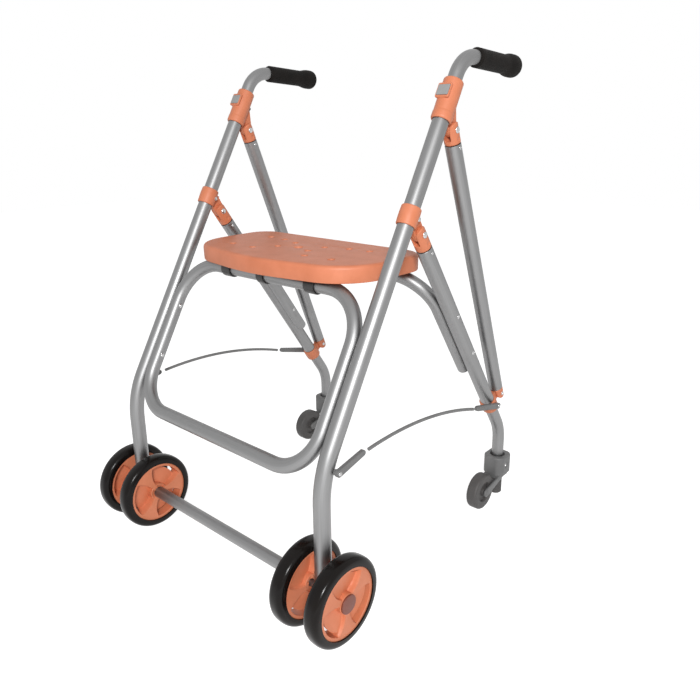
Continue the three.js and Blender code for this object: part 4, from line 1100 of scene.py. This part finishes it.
# %% Arms and wheel
def caster_arms(side, x):
    """A yoke under the housing and an arm down each side of the wheel to its axle."""
    arm_inner, arm_outer = 14 * mm, 18.5 * mm
    front = stem_x_spot - 22 * mm
    rear = stem_x_spot + 19 * mm
    corners = [(sx * 14 * mm, y, 4.5 * mm) for sx in (-1, 1) for y in (front + 4.5 * mm, rear - 4.5 * mm)]
    yoke = plate_mesh(corners, (x, 0, 0), (1, 0, 0), (0, 1, 0), yoke_top - 7 * mm, yoke_top, 1 * mm)
    root = yoke_top - 3.5 * mm
    discs = [(rear_axle, 9 * mm), (np.array([front + 8 * mm, root]), 3.5 * mm),
             (np.array([front + 20 * mm, root]), 3.5 * mm)]
    arms = [side_plate(x, discs, low, low + 4.5 * mm, 1 * mm) for low in (arm_inner, -arm_outer)]
    eyes = [turned_mesh(at(x + out * 13 * mm, rear_axle), (out, 0, 0),
                        [(0, 0), (0, 6.5 * mm), (6.4 * mm, 6.5 * mm), (7 * mm, 5.5 * mm),
                         (7 * mm, 0)], 40) for out in (-1, 1)]
    hole = turned_mesh((x, stem_x_spot, yoke_top - 14 * mm), (0, 0, 1),
                       [(0, 0), (0, 14 * mm), (20 * mm, 14 * mm), (20 * mm, 0)], 48)
    pin = rounded_rod(at(x - 19.8 * mm, rear_axle), at(x + 19.8 * mm, rear_axle), 4 * mm, 0.6 * mm, 24)
    return fuse(f"{side}_caster_arms", grey_plastic, [yoke, *arms, *eyes, pin], [hole], 0.8 * mm, 3)


def roller_profile():
    """Rounded tread, flat walls, and a recess between the tread and the boss on both faces."""
    quarter = np.linspace(0, np.pi / 2, 7)
    shoulder = [(-12 * mm + 5 * mm * (1 - np.cos(q)), 33 * mm + 5 * mm * np.sin(q)) for q in quarter]
    half = [(-12 * mm, 4.3 * mm), (-12 * mm, 8 * mm), (-11.5 * mm, 8.6 * mm), (-7 * mm, 9 * mm),
            (-6.5 * mm, 19.5 * mm),
            (-11 * mm, 21 * mm), (-12 * mm, 22 * mm), *shoulder]
    return half + [(-a, r) for a, r in half[::-1]]

# %% Fit the brakes, wheels and feet
for side, sign in sides.items():
    x = sign * side_x
    settle(housing(side, x), f"{side}_brake", "grey_plastic", f"{side}_brake_housing")
    settle(caster_arms(side, x), f"{side}_brake", "grey_plastic", f"{side}_wheel_fork")
    roller = piece(f"{side}_caster_wheel", turned_mesh(at(x, rear_axle), (1, 0, 0), roller_profile(), 96,
                                                       closed=True), grey_rubber)
    settle(roller, f"{side}_roller", "grey_rubber", f"{side}_rear_wheel")
    foot_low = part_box(f"{side}_brake_foot")[0].z
    foot_profile = [(0, 0), (0, 11.5 * mm), (1.5 * mm, 13 * mm)]
    for step in range(4):
        ridge = 6 * mm + step * 7 * mm
        foot_profile += [(ridge, 13 * mm), (ridge + 1 * mm, 12.2 * mm), (ridge + 2 * mm, 12.2 * mm),
                         (ridge + 3 * mm, 13 * mm)]
    foot_profile += [(36.5 * mm, 13 * mm), (37.7 * mm, 12 * mm), (37.7 * mm, 10.5 * mm), (52 * mm, 10.5 * mm),
                     (52 * mm, 0)]
    foot = piece(f"{side}_foot", turned_mesh((x, stem_x_spot, foot_low), (0, 0, 1), foot_profile, 48),
                 grey_rubber)
    settle(foot, "rear_frame", "grey_rubber", f"{side}_brake_foot")
    for out, edge in ((-1, "inner"), (1, "outer")):
        seat_at = np.array([stem_x_spot - 2 * mm, housing_low + 22 * mm])
        screw(f"{side}_brake_screw_{edge}", x + sign * out * 21.8 * mm, seat_at, sign * out, f"{side}_brake",
              3.6 * mm, 1.8 * mm)

print("each housing is", round(1000 * (housing_high - housing_low), 1), "mm tall")

# %% [markdown]
# ## Stays
# A thin coated rod on each side stops the frame from opening too far. It arches from a block on the front leg
# to a block on the rear leg, and it crosses the fold hinge. Riding on one body it would leave the other one's
# block, so its mesh is made in place and is put on neither body.

# %% Stays
stay_x = clamp_radius + 0.3 * mm + 4 * mm
stay_front = np.array([front_axle[0] + 16.3 * mm, 284 * mm])
stay_rear = on_rear(462)
stay_start = stay_front + np.array([55, 13]) * mm
stay_end = stay_rear + np.array([-82, 21]) * mm


def stay_run(x):
    """The rod's line: straight from end to end, plus a parabola 20 mm high."""
    share = np.linspace(0.02, 0.98, 40)[:, None]
    line = stay_start + share * (stay_end - stay_start)
    line[:, 1:] += 4 * 20 * mm * (share - 0.02) * (0.98 - share)
    return np.column_stack([np.full(len(line), x), line])


for side, sign in sides.items():
    x = sign * (side_x + stay_x)
    run = stay_run(x)
    tangents = unit(np.gradient(run, axis=0))
    turns = np.linspace(0, 2 * np.pi, 16, endpoint=False)
    radii = np.full(len(run), 3 * mm)
    radii[0] = radii[-1] = 0
    run[0], run[-1] = run[1] + 1e-5 * (run[0] - run[1]), run[-2] + 1e-5 * (run[-1] - run[-2])
    grid = carried(run, tangents, np.repeat([[1.0, 0, 0]], len(run), 0), radii, turns)
    rod = piece(f"{side}_stay", grid_mesh(grid), stay_grey)
    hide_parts(f"{side}_stay_rod")
    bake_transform(rod)
    for end, pin, tip, body, wall in (("front", stay_front, stay_start, "front_frame", leg_radius),
                                      ("rear", stay_rear, stay_end, "rear_frame", clamp_radius)):
        block = side_plate(x, [(pin, 6 * mm), (tip, 5 * mm)], -4 * mm, 4 * mm, 1.2 * mm)
        spacer = rounded_rod(at(sign * (side_x + wall + 0.3 * mm), pin), at(x, pin), 5 * mm, 0.2 * mm, 32)
        grooves = []
        for share in (0.45, 0.6, 0.75):
            spot = pin + share * (tip - pin)
            ends = [(spot + lift * np.array([0, 1]), 0.6 * mm) for lift in (-3 * mm, 3 * mm)]
            grooves.append(side_plate(x + sign * 4 * mm, ends, -0.6 * mm, 0.6 * mm, 0.1 * mm, 24))
        fitted = fuse(f"{side}_stay_{end}_end", grey_plastic, [block, spacer], grooves, 0.6 * mm, 3)
        settle(fitted, body, "grey_plastic", f"{side}_stay_{end}_block")
        screw(f"{side}_stay_{end}_screw", x + sign * 3.9 * mm, pin, sign, body, 3.6 * mm, 1.8 * mm)

print("each stay spans", round(float(np.linalg.norm(stay_end - stay_start)), 3), "m")

# %% [markdown]
# ## The seat
# The seat is a moulded shell: a flat top, a soft edge, a deep skirt and ribs underneath. Its outline is drawn
# once from arcs. Every row of the surface is that outline moved inwards and down, so the wall is the same all
# round, which a scaled copy of the outline would not give. The drain holes are carved with flared tools so
# that their rims are soft.

# %% Seat outline
seat_low, seat_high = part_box("seat_panel")
seat_front = seat_low.y
seat_half = seat_high.x
seat_depth = seat_high.y - seat_low.y


def arc_outline(corners, steps=14):
    """Points and outward normals of a convex outline whose corners (across, up, radius) are rounded by
    arcs."""
    points, normals = [], []
    count = len(corners)
    for index, (across, up, radius) in enumerate(corners):
        corner = np.array([across, up])
        before = unit(np.array(corners[index - 1][:2]) - corner)
        after = unit(np.array(corners[(index + 1) % count][:2]) - corner)
        half_angle = np.arccos(np.clip(before @ after, -1, 1)) / 2
        centre = corner + unit(before + after) * radius / np.sin(half_angle)
        start = unit(corner + before * radius / np.tan(half_angle) - centre)
        finish = unit(corner + after * radius / np.tan(half_angle) - centre)
        turn = np.arccos(np.clip(start @ finish, -1, 1))
        for share in np.linspace(0, 1, steps):
            normal = (np.sin((1 - share) * turn) * start + np.sin(share * turn) * finish) / np.sin(turn)
            points.append(centre + radius * normal)
            normals.append(normal)
    return np.array(points), np.array(normals)


nose_rise = 26 * mm
outline, outward = arc_outline([
    (0, seat_front - 0.35 * nose_rise, 420 * mm),
    (seat_half - 7 * mm, seat_front + nose_rise, 95 * mm),
    (seat_half, seat_front + seat_depth, 45 * mm),
    (-seat_half, seat_front + seat_depth, 45 * mm),
    (7 * mm - seat_half, seat_front + nose_rise, 95 * mm)])
seat_middle = np.array([0, seat_front + 0.52 * seat_depth])

# %% Seat shell, holes and ribs
def seat_mesh():
    """Rows of the outline: crown, edge arc, drafted skirt, bottom rim, then the inner wall and the
    ceiling."""
    top, bottom = seat_high.z, seat_low.z
    edge = 7 * mm
    quarter = np.linspace(0, np.pi / 2, 8)
    skirt = [(edge * (1 - np.sin(q)), top - edge * (1 - np.cos(q)), 1.0) for q in quarter]
    skirt += [(0.1 * mm, top - 14 * mm, 1.0), (0.5 * mm, bottom + 1.5 * mm, 1.0),
              (1 * mm, bottom + 0.4 * mm, 1.0),
              (1.8 * mm, bottom, 1.0), (3.4 * mm, bottom, 1.0), (4.2 * mm, bottom + 0.5 * mm, 1.0),
              (4.4 * mm, bottom + 2 * mm, 1.0), (4.2 * mm, top - 9 * mm, 1.0), (7 * mm, top - 4.5 * mm, 1.0)]
    crown = [(edge, top, share) for share in (0.0, 0.35, 0.65, 0.85, 0.95)]
    ceiling = [(7 * mm, top - 4 * mm, share) for share in (0.95, 0.6, 0.0)]
    rows = []
    for inset, height, share in crown + skirt + ceiling:
        ring = outline - inset * outward
        ring = seat_middle + share * (ring - seat_middle)
        rows.append(np.column_stack([ring, np.full(len(ring), height)]))
    return grid_mesh(np.array(rows))


def drain_tool(x, y, radius):
    """A hole through the top whose upper rim flares by 1.5 mm."""
    quarter = np.linspace(0, np.pi / 2, 5)
    flare = [((10 - 1.5 + 1.5 * np.sin(q)) * mm, radius + 1.5 * mm * (1 - np.cos(q))) for q in quarter]
    profile = [(0, 0), (0, radius), *flare, (12 * mm, radius + 1.6 * mm), (12 * mm, 0)]
    return turned_mesh((x, y, seat_high.z - 10 * mm), (0, 0, 1), profile, 32)


def seat_rib(x):
    """A rib under the top, from the front skirt to the rear one."""
    low = seat_hinge[1] + bent_radius + 0.3 * mm
    front = seat_front + (0.35 * nose_rise + (abs(x) / seat_half) ** 2 * nose_rise) + 2 * mm
    back = seat_front + seat_depth - 3 * mm
    ends, levels = (front + 3 * mm, back - 1 * mm), (low + 1 * mm, seat_high.z - 3 * mm)
    discs = [(np.array([y, z]), 1 * mm) for y in ends for z in levels]
    return side_plate(x, discs, -2.2 * mm, 2.2 * mm, 0.4 * mm, 40)

# %% Build the seat
drain_spots = [(40, -15), (69, -52), (130, -49), (39, 30), (86, 46), (131, 50)]
drain_row = seat_front + 116 * mm
seat = piece("seat", seat_mesh(), orange, 32)
carve(seat, "UNION", *[seat_rib(sign * spot * mm) for spot in (80, 150) for sign in (-1, 1)])
carve(seat, "DIFFERENCE", drain_tool(0, drain_row, 9 * mm),
      *[drain_tool(sign * x * mm, drain_row + y * mm, 6.3 * mm) for x, y in drain_spots for sign in (-1, 1)])
seat.data.shade_smooth()
seat.data.set_sharp_from_angle(angle=np.radians(32))
settle(seat, "seat", "orange_plastic", "seat_panel")
print("the seat has", 1 + 2 * len(drain_spots), "drain holes")

# %% Seat clips
def seat_clip(name, x, half):
    """A snap ring over the loop's bar, open at the lower rear, with a pad up to the seat's plate."""
    inner, outer = bent_radius + 0.3 * mm, bent_radius + 3.3 * mm
    ring = sleeve_mesh(at(x - half, seat_hinge), at(x + half, seat_hinge), outer, inner, 1 * mm)
    pad_low = seat_hinge[1] + 14 * mm
    pad_high = seat_high.z - 4.4 * mm
    pad = side_plate(x, [(np.array([seat_hinge[0] + y * mm, z]), 1.5 * mm) for y in (-12, 12)
                         for z in (pad_low + 1.5 * mm, pad_high - 1.5 * mm)], -half, half, 0.8 * mm)
    mouth = [(seat_hinge + 2 * mm * heading(35), 0.5 * mm), (seat_hinge + 40 * mm * heading(0), 0.5 * mm),
             (seat_hinge + 40 * mm * heading(70), 0.5 * mm)]
    opening = side_plate(x, mouth, -2 * half, 2 * half, 0.1 * mm)
    return fuse(name, black_plastic, [ring, pad], [opening], 0.7 * mm, 3)


for side, sign in sides.items():
    settle(seat_clip(f"{side}_clip", sign * 110 * mm, 12 * mm), "seat", "black_plastic", f"{side}_seat_clip")
settle(seat_clip("middle_clip", -14 * mm, 9 * mm), "seat", "black_plastic")
print("three clips hold the seat on the loop's upper bar")

# %% [markdown]
# ## Small fastenings
# Screws hold the loop to the front legs and the hoop to the rear legs. They are small, but they are what
# tells the eye that the tubes are joined. Each is the same domed head with a carved cross, set on a tube's
# wall.

# %% Loop and hoop screws
for side, sign in sides.items():
    for number, along in enumerate((93, 197)):
        screw(f"{side}_loop_screw_{number}", sign * (bar_x - bent_radius + 0.2 * mm), on_leg(along), -sign,
              "front_frame",
              4.2 * mm, 2 * mm)
    for number, along in enumerate((195, 296)):
        screw(f"{side}_hoop_screw_{number}", sign * (side_x + leg_radius - 0.2 * mm), on_rear(along), sign,
              "rear_frame",
              3.8 * mm, 1.8 * mm)
        screw(f"{side}_hoop_nut_{number}", sign * (bar_x - bent_radius + 0.2 * mm), on_rear(along), -sign,
              "rear_frame",
              3.8 * mm, 1.8 * mm)
